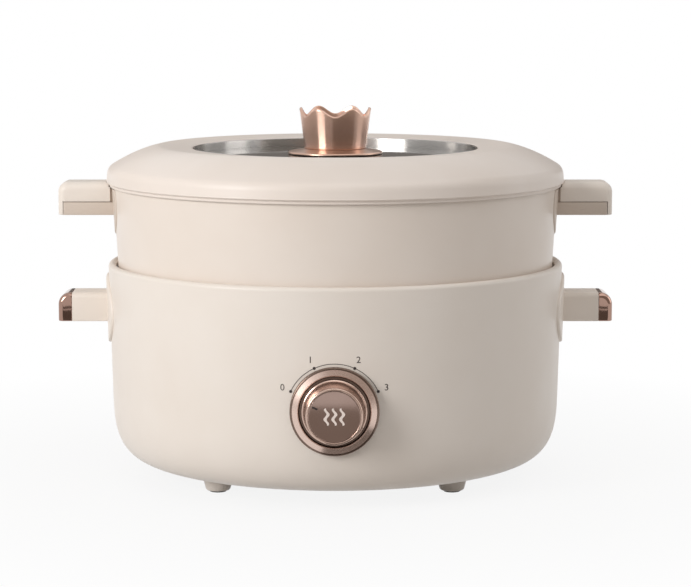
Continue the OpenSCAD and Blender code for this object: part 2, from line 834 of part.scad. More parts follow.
module inlet_pins() {
    y0 = inlet_seat_y - inlet_depth - blade_len;
    y1 = inlet_seat_y + inlet_flange_t - socket_depth + pin_len;
    color([0.78, 0.7, 0.45]) for (p = pin_places)
        translate([p[0] - pin_w / 2, y0, inlet_z + p[1] - pin_h / 2]) cube([pin_w, y1 - y0, pin_h]);
}

module wiring() {
    pin_x = pin_places[1][0];
    pin_z = inlet_z + pin_places[1][1];
    tab_x = 1.5 * blade_step;
    in_y = inlet_seat_y - inlet_depth - blade_len - wire_r - seat_gap;
    out_y = boss_in_y + switch_depth + blade_len + wire_r + seat_gap;
    low_z = foot_h + wire_lift;
    mid_z = low_z + wire_rise;
    end_x = element_ring * sin(terminal_deg);
    end_y = element_ring * cos(terminal_deg);
    end_z = plate_bottom_z - terminal_len - wire_r - 2 * seat_gap;
    color([0.75, 0.73, 0.7]) {
        wire([[-pin_x, in_y, pin_z], [-wire_side, in_y - wire_bend, low_z],
              [-wire_side, out_y + wire_bend, low_z], [-tab_x, out_y, dial_z]], wire_r);
        wire([[pin_x, in_y, pin_z], [wire_side, in_y - wire_bend, mid_z], [end_x, end_y, end_z]], wire_r);
        wire([[tab_x, out_y, dial_z], [wire_side, out_y + wire_bend, mid_z],
              [wire_side, 0, low_z + wire_rise / 2], [-wire_bend, end_y - wire_rise, mid_z],
              [-end_x, end_y, end_z]], wire_r);
    }
}

module dial_knob() {
    back_y = dial_seat_y - bezel_floor_t - dial_lift;
    len = back_y - dial_face_y;
    hub_back = dial_seat_y - bushing_len - hub_gap;
    hub_z = back_y - hub_back;
    color([0.72, 0.55, 0.49]) difference() {
        translate([0, back_y, dial_z]) rotate([90, 0, 0]) difference() {
            rotate_extrude() polygon(concat(
                [[0, 0], [dial_r, 0], [dial_r, dial_foot_h],
                 [dial_tip_r + dial_edge / 2, len - 2 * dial_edge]],
                arc(dial_tip_r - dial_edge / 2, len - dial_edge, dial_edge, 0, 90),
                [[face_r + press_gap, len], [face_r + press_gap, len - face_back], [0, len - face_back]]
            ));
            rotate_extrude() polygon([
                [0, -over], [dial_r - dial_wall, -over], [dial_r - dial_wall, dial_foot_h],
                [dial_tip_r - dial_wall, len - front_t], [hub_r, len - front_t], [hub_r, hub_z], [0, hub_z]]);
        }
        difference() {
            rod_y(dial_face_y + front_t + seat_gap, hub_back + over, shaft_r + press_gap, dial_z);
            translate([-shaft_r - over, dial_face_y, dial_z + shaft_r - shaft_flat + press_gap])
                cube([2 * shaft_r + 2 * over, dial_len, shaft_flat + over]);
        }
    }
}

module dial_face() {
    color([0.75, 0.58, 0.52]) rod_y(dial_face_y + face_drop, dial_face_y + face_back, face_r, dial_z);
}

module switch_shaft() {
    end_y = dial_face_y + front_t + 2 * seat_gap;
    flat_y = dial_seat_y - bushing_len - hub_gap / 2;
    color([0.7, 0.66, 0.55]) difference() {
        rod_y(end_y, boss_in_y + shaft_in, shaft_r, dial_z);
        translate([-shaft_r - over, end_y - over, dial_z + shaft_r - shaft_flat])
            cube([2 * shaft_r + 2 * over, flat_y - end_y + over, shaft_flat + over]);
    }
}

module sensor_cap() {
    lip_z = sensor_stop_z - sensor_lip_h;
    in_r = sensor_r - sensor_skin;
    color([0.7, 0.7, 0.72]) rotate_extrude() polygon([
        [0, seat_z], [sensor_r - sensor_edge, seat_z], [sensor_r, seat_z - sensor_edge],
        [sensor_r, sensor_stop_z], [sensor_lip_r, sensor_stop_z], [sensor_lip_r, lip_z], [in_r, lip_z],
        [in_r, seat_z - sensor_top_t], [0, seat_z - sensor_top_t]]);
}

module sensor_thermostat() {
    color([0.25, 0.24, 0.24]) translate([0, 0, seat_z - sensor_top_t - thermostat_h])
        cylinder(r = thermostat_r, h = thermostat_h);
}

module pot_vessel() {
    turn_z = seat_z + pot_corner_r;
    turn_r = pot_r(turn_z) - pot_corner_r;
    in_round = pot_corner_r - pot_floor;
    in_z = seat_z + pot_floor + in_round;
    in_r = pot_r(in_z) - pot_wall - in_round;
    color([0.9, 0.86, 0.82]) rotate_extrude() polygon(concat(
        [[0, seat_z]],
        arc(turn_r, turn_z, pot_corner_r, -90, 0),
        [[pot_rim_r, pot_rim_z - pot_edge], [pot_rim_r - pot_edge, pot_rim_z],
         [pot_rim_r - pot_wall + pot_edge, pot_rim_z], [pot_rim_r - pot_wall, pot_rim_z - pot_edge]],
        arc(in_r, in_z, in_round, 0, -90),
        [[0, seat_z + pot_floor]]
    ));
}

// bar of a pot grip, both halves
module pot_bar(x0, x1) {
    grip(x0, x1, pot_grip_z, pot_grip_top, pot_grip_half, pot_grip_round, pot_grip_round, grip_low_round,
         grip_plan_round);
}

// holes for the screws of a pot grip, from z0 up
module pot_screw_holes(r, z0, h) {
    for (s = [-1, 1]) translate([pot_screw_x, s * pot_screw_y, z0]) cylinder(r = r, h = h);
}

module pot_handle() {
    color([0.9, 0.86, 0.81]) difference() {
        intersection() {
            pot_bar(pot_grip_start, pot_end);
            union() {
                translate([0, -pot_grip_half, pot_split_z]) cube([pot_end, 2 * pot_grip_half, pot_grip_h]);
                translate([pot_seam_x, -pot_grip_half, 0]) cube([pot_skirt_t, 2 * pot_grip_half, pot_rim_z]);
            }
        }
        translate([0, 0, lid_notch_z]) cylinder(r = lid_notch_r, h = pot_grip_h);
        difference() {
            translate([pot_grip_start + cavity_wall, -cavity_half, pot_split_z - over])
                cube([pot_end - pot_grip_start - cavity_wall - cavity_end, 2 * cavity_half,
                      cavity_top - pot_split_z + over]);
            pot_screw_holes(pot_boss_r, pot_split_z + tongue_t + press_gap, pot_grip_h);
        }
        translate([pot_grip_start - over, -bracket_half - seat_gap, pot_split_z - over])
            cube([cavity_wall + 2 * over, 2 * bracket_half + 2 * seat_gap, tongue_t + over + seat_gap]);
        pot_screw_holes(pot_screw_r + screw_gap, pot_split_z - over, tongue_t + pot_screw_bite + over);
    }
}

module pot_insert() {
    slot_half = bracket_half + seat_gap;
    slot_low_z = bracket_low_z - seat_gap;
    color([0.82, 0.76, 0.71]) difference() {
        union() {
            intersection() {
                translate([0, 0, pot_pad_z]) rotate([90, 0, 90]) linear_extrude(pot_end)
                    oval(pot_pad_half, pot_pad_half_h);
                pot_solid(pot_pad_t);
                cylinder(r = pot_end, h = pot_pad_top);
            }
            intersection() {
                pot_bar(pot_grip_root, pot_end);
                translate([0, -pot_grip_half, 0])
                    cube([pot_seam_x - press_gap, 2 * pot_grip_half, pot_split_z]);
            }
        }
        pot_solid(press_gap);
        intersection() {
            translate([0, -slot_half, slot_low_z])
                cube([pot_end, 2 * slot_half, bracket_high_z + seat_gap - slot_low_z]);
            pot_solid(bracket_t + press_gap + seat_gap);
        }
        translate([0, -slot_half, pot_split_z - press_gap])
            cube([pot_end, 2 * slot_half, tongue_t + 2 * press_gap]);
        pot_screw_holes(pot_screw_r + screw_gap, pot_grip_z - over, pot_grip_h);
        pot_screw_holes(pot_head_r + seat_gap, pot_grip_z - over, pot_head_h + 2 * over);
    }
}

module pot_brackets() {
    color([0.66, 0.66, 0.68]) for (m = [0, 1]) mirror([m, 0, 0]) difference() {
        union() {
            intersection() {
                translate([0, -bracket_half, bracket_low_z])
                    cube([pot_end, 2 * bracket_half, bracket_high_z - bracket_low_z]);
                pot_solid(bracket_t + press_gap);
            }
            translate([pot_grip_root, -bracket_half, pot_split_z])
                cube([tongue_end - pot_grip_root, 2 * bracket_half, tongue_t]);
        }
        pot_solid(press_gap);
        pot_screw_holes(pot_screw_r + screw_gap, pot_split_z - over, tongue_t + 2 * over);
    }
}

module pot_handle_screws() {
    head_z = pot_grip_z + pot_head_h + over;
    color([0.6, 0.6, 0.62]) for (m = [0, 1], s = [-1, 1]) mirror([m, 0, 0])
        translate([pot_screw_x, s * pot_screw_y, head_z])
            screw_up(pot_screw_r, pot_split_z + pot_screw_bite - head_z, pot_head_r, pot_head_h);
}

// places things at the lid's screws
module at_lid_screws(z) {
    for (i = [0:lid_screw_count - 1]) rotate((i + 0.5) * 360 / lid_screw_count)
        translate([lid_screw_ring, 0, z]) children();
}

module lid_ring() {
    inside = lid_outside(lid_skin);
    edge_z = glass_top_z + trim_flange_t + 2 * seat_gap;
    boss_z = lid_floor_z + lid_step;
    boss_top_z = dome_z(lid_screw_ring) - lid_skin / 2;
    color([0.93, 0.89, 0.85]) difference() {
        union() {
            rotate_extrude() polygon(concat(
                [[lid_r - lid_skin, lid_split_z], [lid_r - lid_edge, lid_split_z]],
                lid_outside(0),
                [[window_r, edge_z], [window_r + lid_skin, edge_z]],
                [for (i = [len(inside) - 1:-1:0]) inside[i]]
            ));
            at_lid_screws(boss_z) cylinder(r = lid_boss_r, h = boss_top_z - boss_z);
        }
        at_lid_screws(web_z) cylinder(r = lid_screw_r + screw_gap, h = boss_top_z - lid_skin / 2 - web_z);
    }
}

module lid_frame() {
    top_z = lid_floor_z + lid_step;
    low_z = web_z + lid_step - press_gap;
    land_in = lid_screw_ring - lid_land_in;
    land_out = lid_screw_ring + lid_land_out;
    seat_out_r = glass_r + 1;
    color([0.9, 0.86, 0.82]) difference() {
        rotate_extrude() polygon([
            [frame_in_r, frame_lip_z], [frame_lip_r - lid_edge, frame_lip_z],
            [frame_lip_r, frame_lip_z + lid_edge], [frame_lip_r, lid_split_z - press_gap],
            [frame_wall_r, lid_split_z - press_gap], [frame_wall_r, lid_floor_z], [land_out, top_z],
            [land_in, top_z], [seat_out_r, glass_seat_z], [seat_in_r, glass_seat_z],
            [seat_in_r, glass_seat_z - web_t], [seat_out_r, glass_seat_z - web_t], [land_in, low_z],
            [land_out, low_z], [skirt_out_r - skirt_t, web_z], [skirt_out_r - skirt_t, skirt_z],
            [skirt_out_r, skirt_z], [skirt_out_r, web_z], [frame_in_r, web_z]]);
        at_lid_screws(web_z) cylinder(r = lid_screw_r + screw_gap, h = web_t + 2 * lid_step);
    }
}

module lid_seal() {
    top_z = web_z - press_gap;
    color([0.85, 0.84, 0.82]) rotate_extrude() polygon([
        [seal_in_r, pot_rim_z], [seal_out_r, pot_rim_z], [seal_out_r, top_z], [seal_in_r, top_z]]);
}

module lid_glass() {
    rings = 12;
    low_z = glass_seat_z + press_gap;
    dish = [for (i = [0:rings]) let (r = window_r * i / rings) [r, glass_rise * (1 - pow(r / window_r, 2))]];
    color([0.75, 0.8, 0.82, 0.35]) difference() {
        rotate_extrude() polygon(concat(
            [for (p = dish) [p[0], glass_top_z + p[1]]],
            [[glass_r, glass_top_z], [glass_r, low_z]],
            [for (i = [rings:-1:0]) [dish[i][0], low_z + dish[i][1]]]
        ));
        translate([0, 0, low_z - over]) cylinder(r = glass_hole_r, h = glass_t + glass_rise + 2 * over);
    }
}

module glass_trim() {
    z0 = glass_top_z + press_gap;
    top_z = dome_z(window_r) + trim_lip;
    color([0.75, 0.74, 0.73]) rotate_extrude() polygon([
        [trim_r - trim_t, z0], [trim_flange_r, z0], [trim_flange_r, z0 + trim_flange_t],
        [trim_r, z0 + trim_flange_t], [trim_r, top_z], [trim_r - trim_t, top_z]]);
}

module lid_screws() {
    seat = web_z + lid_step - press_gap;
    color([0.6, 0.6, 0.62]) at_lid_screws(seat)
        screw_up(lid_screw_r, dome_z(lid_screw_ring) - 2 * lid_skin - seat, lid_head_r, lid_head_h);
}

// one valley of the crown's waved edge
module crown_notch() {
    half = 180 / crown_points;
    steps = 10;
    edge_x = crown_tip_r * sin(half);
    wave = [for (i = [-steps:steps]) let (a = half * i / steps, dip = (1 + cos(crown_points * a)) / 2)
        [crown_tip_r * sin(a), crown_h + crown_flat - (crown_valley + crown_flat) * dip]];
    polygon(concat(wave, [[edge_x, 2 * crown_h], [-edge_x, 2 * crown_h]]));
}

module crown_knob() {
    in_foot = crown_foot_r - crown_wall;
    floor_r = in_foot + (crown_tip_r - crown_foot_r) * crown_floor / crown_h;
    color([0.78, 0.58, 0.5]) difference() {
        translate([0, 0, crown_z]) union() {
            difference() {
                rotate_extrude() polygon([
                    [0, 0], [crown_foot_r, 0], [crown_tip_r, crown_h], [crown_tip_r - crown_wall, crown_h],
                    [floor_r, crown_floor], [0, crown_floor]]);
                for (a = [0:360 / crown_points:179]) rotate(a) rotate([90, 0, 0])
                    linear_extrude(3 * crown_tip_r, center = true) crown_notch();
            }
            cylinder(r = crown_boss_r, h = crown_floor + crown_boss_h);
        }
        translate([0, 0, crown_z - over]) cylinder(r = knob_screw_r + screw_gap, h = crown_floor + 2 * over);
    }
}

module crown_flange() {
    bore_r = knob_screw_r + screw_gap;
    cup_r = gasket_r + seat_gap;
    low_z = glass_mid_z + seat_gap;
    color([0.78, 0.6, 0.53]) rotate_extrude() polygon([
        [bore_r, flange_z], [cup_r, flange_z], [cup_r, low_z], [crown_flange_r - flange_edge, low_z],
        [crown_flange_r, low_z + flange_edge], [crown_flange_r, flange_z + flange_edge],
        [crown_flange_r - 2 * flange_edge, flange_z + 2 * flange_edge],
        [crown_foot_r + 4 * flange_edge, crown_z - flange_edge], [crown_foot_r + flange_edge, crown_z],
        [bore_r, crown_z]]);
}

module knob_gasket() {
    bore_r = knob_screw_r + screw_gap;
    color([0.8, 0.79, 0.77]) rotate_extrude() polygon([
        [bore_r, glass_mid_z], [gasket_r, glass_mid_z], [gasket_r, flange_z], [bore_r, flange_z]]);
}

module knob_washer() {
    z1 = glass_mid_z - glass_t;
    color([0.66, 0.66, 0.68]) translate([0, 0, z1 - washer_t]) difference() {
        cylinder(r = washer_r, h = washer_t);
        translate([0, 0, -over]) cylinder(r = knob_screw_r + screw_gap, h = washer_t + 2 * over);
    }
}

module knob_screw() {
    z0 = glass_mid_z - glass_t - washer_t;
    color([0.6, 0.6, 0.62]) translate([0, 0, z0])
        screw_up(knob_screw_r, crown_z - z0 + crown_floor - shaft_end_gap, knob_head_r, knob_head_h);
}

// moves the cooker's axis so that the origin is the middle of the footprint
module seat() {
    translate([0, axis_y, 0]) children();
}

seat() base_shell();
seat() base_rim();
seat() base_liner();
seat() bottom_cover();
seat() cover_screws();
seat() base_feet();
seat() foot_pads();
seat() mirror([1, 0, 0]) base_handle();  // base_handle_left
seat() base_handle();  // base_handle_right
seat() mirror([1, 0, 0]) handle_cap();  // handle_cap_left
seat() handle_cap();  // handle_cap_right
seat() base_handle_screws();
seat() heating_plate();
seat() heating_element();
seat() plate_posts();
seat() plate_screws();
seat() sensor_housing();
seat() housing_screws();
seat() sensor_spring();
seat() thermal_fuse();
seat() fuse_clip();
seat() switch_body();
seat() switch_nut();
seat() switch_terminals();
seat() dial_bezel();
seat() power_inlet();
seat() inlet_pins();
seat() wiring();
seat() dial_knob();
seat() dial_face();
seat() switch_shaft();
seat() sensor_cap();
seat() sensor_thermostat();
seat() pot_vessel();
seat() mirror([1, 0, 0]) pot_handle();  // pot_handle_left
seat() pot_handle();  // pot_handle_right
seat() mirror([1, 0, 0]) pot_insert();  // pot_insert_left
seat() pot_insert();  // pot_insert_right
seat() pot_brackets();
seat() pot_handle_screws();
seat() lid_ring();
seat() lid_frame();
seat() lid_seal();
seat() lid_glass();
seat() glass_trim();
seat() lid_screws();
seat() crown_knob();
seat() crown_flange();
seat() knob_gasket();
seat() knob_washer();
seat() knob_screw();
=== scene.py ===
"""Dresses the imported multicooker: smooth visible pieces, finishes, a plain studio and the camera."""
import json
import logging
import math
from collections.abc import Callable, Iterable, Sequence
from dataclasses import dataclass
from enum import Enum

import bmesh
import bpy
from bmesh.types import BMEdge, BMesh, BMFace, BMVert
from bpy.types import Material, Node, NodeSocket, Object
from mathutils import Matrix, Vector

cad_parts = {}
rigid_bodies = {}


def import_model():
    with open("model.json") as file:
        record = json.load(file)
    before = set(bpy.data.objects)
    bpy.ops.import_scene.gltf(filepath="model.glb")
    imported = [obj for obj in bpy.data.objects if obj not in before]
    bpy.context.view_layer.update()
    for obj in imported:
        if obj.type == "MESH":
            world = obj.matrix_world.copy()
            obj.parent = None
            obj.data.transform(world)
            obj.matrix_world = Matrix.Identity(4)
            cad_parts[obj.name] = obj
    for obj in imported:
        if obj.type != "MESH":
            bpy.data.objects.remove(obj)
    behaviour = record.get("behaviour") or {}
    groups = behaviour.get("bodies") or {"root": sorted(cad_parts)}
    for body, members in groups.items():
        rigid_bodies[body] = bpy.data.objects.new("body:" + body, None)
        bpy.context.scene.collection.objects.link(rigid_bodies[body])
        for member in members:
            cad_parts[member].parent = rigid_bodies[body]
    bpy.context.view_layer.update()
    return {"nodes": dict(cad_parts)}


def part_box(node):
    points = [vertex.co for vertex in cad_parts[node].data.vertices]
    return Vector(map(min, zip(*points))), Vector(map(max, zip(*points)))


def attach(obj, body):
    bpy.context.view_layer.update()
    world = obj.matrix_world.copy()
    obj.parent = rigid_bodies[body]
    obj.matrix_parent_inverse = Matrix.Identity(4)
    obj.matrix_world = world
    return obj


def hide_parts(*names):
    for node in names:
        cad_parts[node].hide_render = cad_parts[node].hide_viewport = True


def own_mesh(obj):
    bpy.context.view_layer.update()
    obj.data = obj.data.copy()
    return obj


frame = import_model()

LOG = logging.getLogger("multicooker")
MM = 0.001
SAME = 1e-6
ON_AXIS = 1e-9
AXIS_Y = 8.2125
DIAL_Z = 58.0
WAVE_CYCLE = 6.28
WHITE = (1.0, 1.0, 1.0, 1.0)
PAD_RINGS = ((1.0, 0.35), (0.992, 0.72), (0.975, 0.92), (0.95, 1.0), (0.86, 1.0), (0.72, 1.0), (0.56, 1.0),
             (0.4, 1.0), (0.24, 1.0), (0.1, 1.0))
Outline = Sequence[tuple[float, ...]]
Points = list[tuple[float, float]]
Colour = tuple[int, int, int]
Place = tuple[float, float, float]
Source = NodeSocket | Node


class Turning(Enum):
    """Axis that an outline is turned about."""

    UPRIGHT = "Z"
    DIAL = "Y"

    @property
    def axis(self) -> Vector:
        """Direction of the axis."""
        return Vector((0, 0, 1)) if self is Turning.UPRIGHT else Vector((0, -1, 0))

    @property
    def centre(self) -> Vector:
        """Point of the axis, in metres."""
        return Vector((0, AXIS_Y, 0 if self is Turning.UPRIGHT else DIAL_Z)) * MM

    def point(self, radius: float, height: float) -> Vector:
        """Place a point of an outline, in metres."""
        return (Vector((radius, 0, 0)) + self.axis * height) * MM


class Side(Enum):
    """Side of the cooker that a grip sits on."""

    LEFT = -1
    RIGHT = 1

    @property
    def word(self) -> str:
        """Ending of the node names on this side."""
        return self.name.lower()


class Joining(Enum):
    """Way in which two shapes become one."""

    ADD = "UNION"
    CUT = "DIFFERENCE"


def linear(colour: Colour) -> tuple[float, float, float, float]:
    """Turn a display colour of 0 to 255 into a scene colour."""
    parts = [c / 255 for c in colour]
    parts = [c / 12.92 if c <= 0.04045 else ((c + 0.055) / 1.055) ** 2.4 for c in parts]
    return (parts[0], parts[1], parts[2], 1.0)


class NodeBoard:
    """Short way to add and join the nodes of one tree."""

    BAND = (0.3, 0.7)

    def __init__(self, tree: bpy.types.NodeTree) -> None:
        """Start with an empty tree."""
        self.tree = tree
        tree.nodes.clear()

    def add(self, kind: str, *sources: Source, **inputs: object) -> Node:
        """Add a node and fill its inputs.

        Args:
            kind: type name of the node, without its ShaderNode prefix.
            sources: what its first inputs take, in order; a node stands for its first output.
            inputs: names of inputs, with _ for a space, and a value or a source each.

        Returns:
            The node.
        """
        node = self.tree.nodes.new("ShaderNode" + kind)
        for place, source in enumerate(sources):
            self.link(source, node.inputs[place])
        self.fill(node, **inputs)
        return node

    def link(self, source: Source, entry: NodeSocket) -> None:
        """Lead a source to an input."""
        self.tree.links.new(source.outputs[0] if isinstance(source, Node) else source, entry)

    def fill(self, node: Node, **inputs: object) -> None:
        """Fill the named inputs of a node, as add does."""
        for name, value in inputs.items():
            entry = node.inputs[name.replace("_", " ")]
            if isinstance(value, Source):
                self.link(value, entry)
            else:
                entry.default_value = value

    def noise(self, place: Source, scale: float, detail: float) -> NodeSocket:
        """Give a noise from 0 to 1 at a place."""
        return self.add("TexNoise", Vector=place, Scale=scale, Detail=detail).outputs["Fac"]

    def ramp(self, factor: Source, *colours: Colour) -> Node:
        """Spread the middle band of a factor over two colours."""
        node = self.add("ValToRGB", Fac=factor)
        for mark, place, colour in zip(node.color_ramp.elements, self.BAND, colours):
            mark.position = place
            mark.color = linear(colour)
        return node

    def spread(self, factor: Source, low: float, high: float) -> Node:
        """Spread the middle band of a factor over two numbers."""
        start, end = self.BAND
        return self.add("MapRange", Value=factor, From_Min=start, From_Max=end, To_Min=low, To_Max=high)

    def looked_at(self) -> Source:
        """Give 1 on rays by which the background is seen, straight, mirrored or through glass."""
        path = self.add("LightPath")
        seen = path.outputs["Is Camera Ray"]
        for name in ("Is Glossy Ray", "Is Transmission Ray"):
            seen = self.add("Math", seen, path.outputs[name])
            seen.operation = "MAXIMUM"
        return seen


def surfaced(name: str) -> tuple[Material, NodeBoard]:
    """Make a material with an empty tree."""
    made = bpy.data.materials.new(name)
    made.use_nodes = True
    return made, NodeBoard(made.node_tree)


@dataclass(frozen=True)
class Finish:
    """Surface with two close tints, a band of roughness and a fine grain.

    Sizes of patterns are cells to a metre, and depths are millimetres.
    """

    name: str
    colour: Colour
    tint: Colour
    rough: tuple[float, float] = (0.34, 0.42)
    metallic: float = 0.0
    cloud: float = 24.0
    grain: float = 2600.0
    depth: float = 0.012
    raised: float = 0.35
    specular: float = 0.5

    def material(self) -> Material:
        """Give the finish's material, made on first use."""
        known = bpy.data.materials.get(self.name)
        if known:
            return known
        made, board = surfaced(self.name)
        board.add("OutputMaterial", Surface=self.shade(board))
        made.diffuse_color = linear(self.colour)
        return made

    def shade(self, board: NodeBoard) -> Node:
        """Build the shader with its colour, roughness and relief."""
        place = board.add("TexCoord").outputs["Object"]
        cloud = board.noise(place, self.cloud, 3.0)
        height = self.relief(board, place)
        return board.add(
            "BsdfPrincipled",
            Base_Color=board.ramp(cloud, self.colour, self.tint),
            Roughness=board.spread(cloud, *self.rough),
            Metallic=self.metallic,
            Specular_IOR_Level=self.specular,
            Normal=board.add("Bump", Height=height, Strength=self.raised, Distance=self.depth * MM),
        )

    def relief(self, board: NodeBoard, place: NodeSocket) -> NodeSocket:
        """Give the height of the grain at a place."""
        return board.noise(place, self.grain, 2.0)


@dataclass(frozen=True)
class SpunFinish(Finish):
    """Metal with fine rings left by turning it about an axis."""

    metallic: float = 1.0
    raised: float = 0.3
    turning: Turning = Turning.UPRIGHT
    rings: float = 3200.0
    streak: float = 0.0

    def shade(self, board: NodeBoard) -> Node:
        """Build the shader with a sheen that is drawn out across the rings."""
        shader = super().shade(board)
        around = board.add("Tangent")
        around.direction_type = "RADIAL"
        around.axis = self.turning.value
        board.fill(shader, Anisotropic=self.streak, Anisotropic_Rotation=0.25, Tangent=around)
        return shader

    def relief(self, board: NodeBoard, place: NodeSocket) -> NodeSocket:
        """Give the height of the turning rings at a place."""
        centred = board.add("Mapping", Vector=place, Location=-self.turning.centre)
        wave = board.add("TexWave", Vector=centred, Scale=self.rings / WAVE_CYCLE, Distortion=1.6, Detail=2.0,
                         Detail_Scale=0.6)
        wave.wave_type = "RINGS"
        wave.rings_direction = self.turning.value
        return wave.outputs["Fac"]


@dataclass(frozen=True)
class GlassFinish(Finish):
    """Clear glass with a faint tint and a polished surface."""

    def shade(self, board: NodeBoard) -> Node:
        """Build the glass shader."""
        shader = super().shade(board)
        board.fill(shader, Transmission_Weight=1.0, IOR=1.5)
        return shader


class Finishes:
    """Finishes of the cooker's pieces."""

    base = Finish("base_satin", (233, 224, 215), (230, 220, 210), specular=0.35)
    pot = Finish("pot_coating", (232, 221, 211), (229, 217, 206), (0.3, 0.36), depth=0.006, specular=0.35)
    lid = Finish("lid_satin", (234, 223, 214), (231, 219, 209), specular=0.35)
    grip = Finish("grip_satin", (235, 225, 215), (232, 221, 210), (0.36, 0.44), specular=0.35)
    insert = Finish("insert_satin", (211, 197, 184), (205, 190, 177), (0.42, 0.5), depth=0.02, specular=0.3)
    crown = SpunFinish("crown_rose", (212, 178, 160), (206, 170, 152), (0.22, 0.27), depth=0.002, streak=0.95)
    flange = SpunFinish("flange_rose", (201, 170, 153), (195, 163, 145), (0.28, 0.34), depth=0.003,
                        streak=0.5)
    cap = Finish("cap_rose", (168, 138, 125), (162, 131, 118), (0.015, 0.03), 1.0, grain=900.0, depth=0.001)
    bezel = SpunFinish("bezel_rose", (224, 200, 188), (217, 192, 180), (0.22, 0.28), depth=0.006,
                       turning=Turning.DIAL, streak=0.8)
    # Darker tint for the bezel's outer edge and for the groove floor beside the dial; on the groove floor it
    # is painted shade.
    lip = SpunFinish("bezel_dark_edge_and_groove_shade", (122, 104, 94), (114, 95, 85), (0.2, 0.28), depth=0.004,
                     turning=Turning.DIAL, streak=0.6)
    dial = SpunFinish("dial_rose", (206, 181, 168), (200, 173, 159), (0.14, 0.2), depth=0.004,
                      turning=Turning.DIAL, streak=0.8)
    face = Finish("mirror_rose", (170, 147, 138), (164, 140, 130), (0.05, 0.07), 1.0, grain=700.0,
                  depth=0.001)
    steel = SpunFinish("trim_steel", (178, 174, 170), (170, 166, 162), (0.2, 0.28), depth=0.003, streak=0.9)
    glass = GlassFinish("lid_glass_clear", (236, 240, 240), (232, 237, 236), (0.0, 0.02), grain=60.0,
                        depth=0.0005)
    lining = Finish("pot_lining", (58, 55, 53), (50, 48, 46), (0.4, 0.52), grain=1400.0, depth=0.03)
    sheet = SpunFinish("liner_sheet", (196, 196, 197), (186, 186, 188), (0.26, 0.36), depth=0.006)
    cast = Finish("plate_casting", (176, 176, 177), (162, 162, 164), (0.42, 0.56), 1.0, grain=1200.0,
                  depth=0.04)
    tube = Finish("element_tube", (104, 100, 98), (88, 84, 82), (0.45, 0.6), 1.0, depth=0.02)
    screw = Finish("screw_zinc", (178, 178, 182), (166, 166, 170), (0.28, 0.38), 1.0, depth=0.006)
    silicone = Finish("silicone_white", (224, 221, 216), (218, 215, 210), (0.5, 0.6), depth=0.02)
    rubber = Finish("foot_rubber", (84, 81, 79), (74, 72, 70), (0.65, 0.78), grain=1800.0, depth=0.04)
    black = Finish("black_moulded", (44, 43, 43), (38, 37, 37), (0.4, 0.5), grain=1600.0, depth=0.03)
    cover = Finish("cover_grey", (158, 153, 148), (150, 145, 140), (0.5, 0.6), grain=1400.0, depth=0.04)
    brass = Finish("terminal_brass", (205, 180, 118), (194, 168, 106), (0.26, 0.38), 1.0, depth=0.006)
    ceramic = Finish("white_ceramic", (226, 223, 214), (218, 215, 205), (0.3, 0.4), depth=0.02)
    sleeve = Finish("wire_sleeve", (200, 195, 188), (190, 185, 178), (0.5, 0.62), depth=0.02)
    ink = Finish("scale_ink", (46, 34, 30), (40, 29, 26), (0.42, 0.52), depth=0.004)
    enamel = Finish("pale_enamel", (240, 226, 218), (236, 221, 212), (0.3, 0.38), depth=0.004)


def meshed(shape: BMesh, name: str) -> bpy.types.Mesh:
    """Turn a shape, which is freed, into a mesh."""
    mesh = bpy.data.meshes.new(name)
    shape.to_mesh(mesh)
    shape.free()
    return mesh


def placed(name: str, data: bpy.types.ID) -> Object:
    """Put a new object in the scene."""
    made = bpy.data.objects.new(name, data)
    bpy.context.scene.collection.objects.link(made)
    return made


def arc(centre: tuple[float, float], radius: float, first: float, last: float, steps: int) -> Points:
    """Give the points of an arc of an outline, between two angles in radians."""
    turns = [first + (last - first) * i / steps for i in range(steps + 1)]
    return [(centre[0] + radius * math.cos(a), centre[1] + radius * math.sin(a)) for a in turns]


def lathe(outline: Outline, steps: int = 240, turning: Turning = Turning.UPRIGHT) -> BMesh:
    """Turn a closed outline into a solid.

    Args:
        outline: corners as radius, height and, where the corner is rounded, its rounding.
        steps: segments of the full turn.
        turning: axis to turn about.

    Returns:
        The closed shape.
    """
    shape = bmesh.new()
    corners = [shape.verts.new(turning.point(*c[:2])) for c in outline]
    for ends in zip(corners, corners[1:] + corners[:1]):
        if any(v.co.cross(turning.axis).length >= ON_AXIS for v in ends):
            shape.edges.new(ends)
    for rounding in sorted({c[2] for c in outline if len(c) > 2}):
        chosen = [v for v, c in zip(corners, outline) if len(c) > 2 and c[2] == rounding]
        bmesh.ops.bevel(shape, geom=chosen, offset=rounding * MM, segments=6, profile=0.5, affect="VERTICES",
                        material=-1)
    bmesh.ops.spin(shape, geom=shape.verts[:] + shape.edges[:], cent=(0, 0, 0), axis=turning.axis,
                   angle=math.tau, steps=steps, use_merge=True)
    tidy(shape)
    return shape


def tidy(shape: BMesh) -> None:
    """Merge doubled points and turn all faces outwards."""
    bmesh.ops.remove_doubles(shape, verts=shape.verts, dist=SAME)
    outward(shape)


def outward(shape: BMesh) -> None:
    """Turn all faces of a closed shape outwards."""
    bmesh.ops.recalc_face_normals(shape, faces=shape.faces)
    if shape.calc_volume(signed=True) < 0:
        bmesh.ops.reverse_faces(shape, faces=shape.faces)


def shift(shape: BMesh, x: float = 0.0, y: float = 0.0, z: float = 0.0) -> None:
    """Move a whole shape, in millimetres."""
    bmesh.ops.translate(shape, verts=shape.verts, vec=Vector((x, y, z)) * MM)


def grow(shape: BMesh, faces: Sequence[BMFace], way: Place) -> None:
    """Extrude faces of a shape along a way given in millimetres."""
    grown = bmesh.ops.extrude_face_region(shape, geom=faces)["geom"]
    bmesh.ops.translate(shape, verts=[v for v in grown if isinstance(v, BMVert)], vec=Vector(way) * MM)


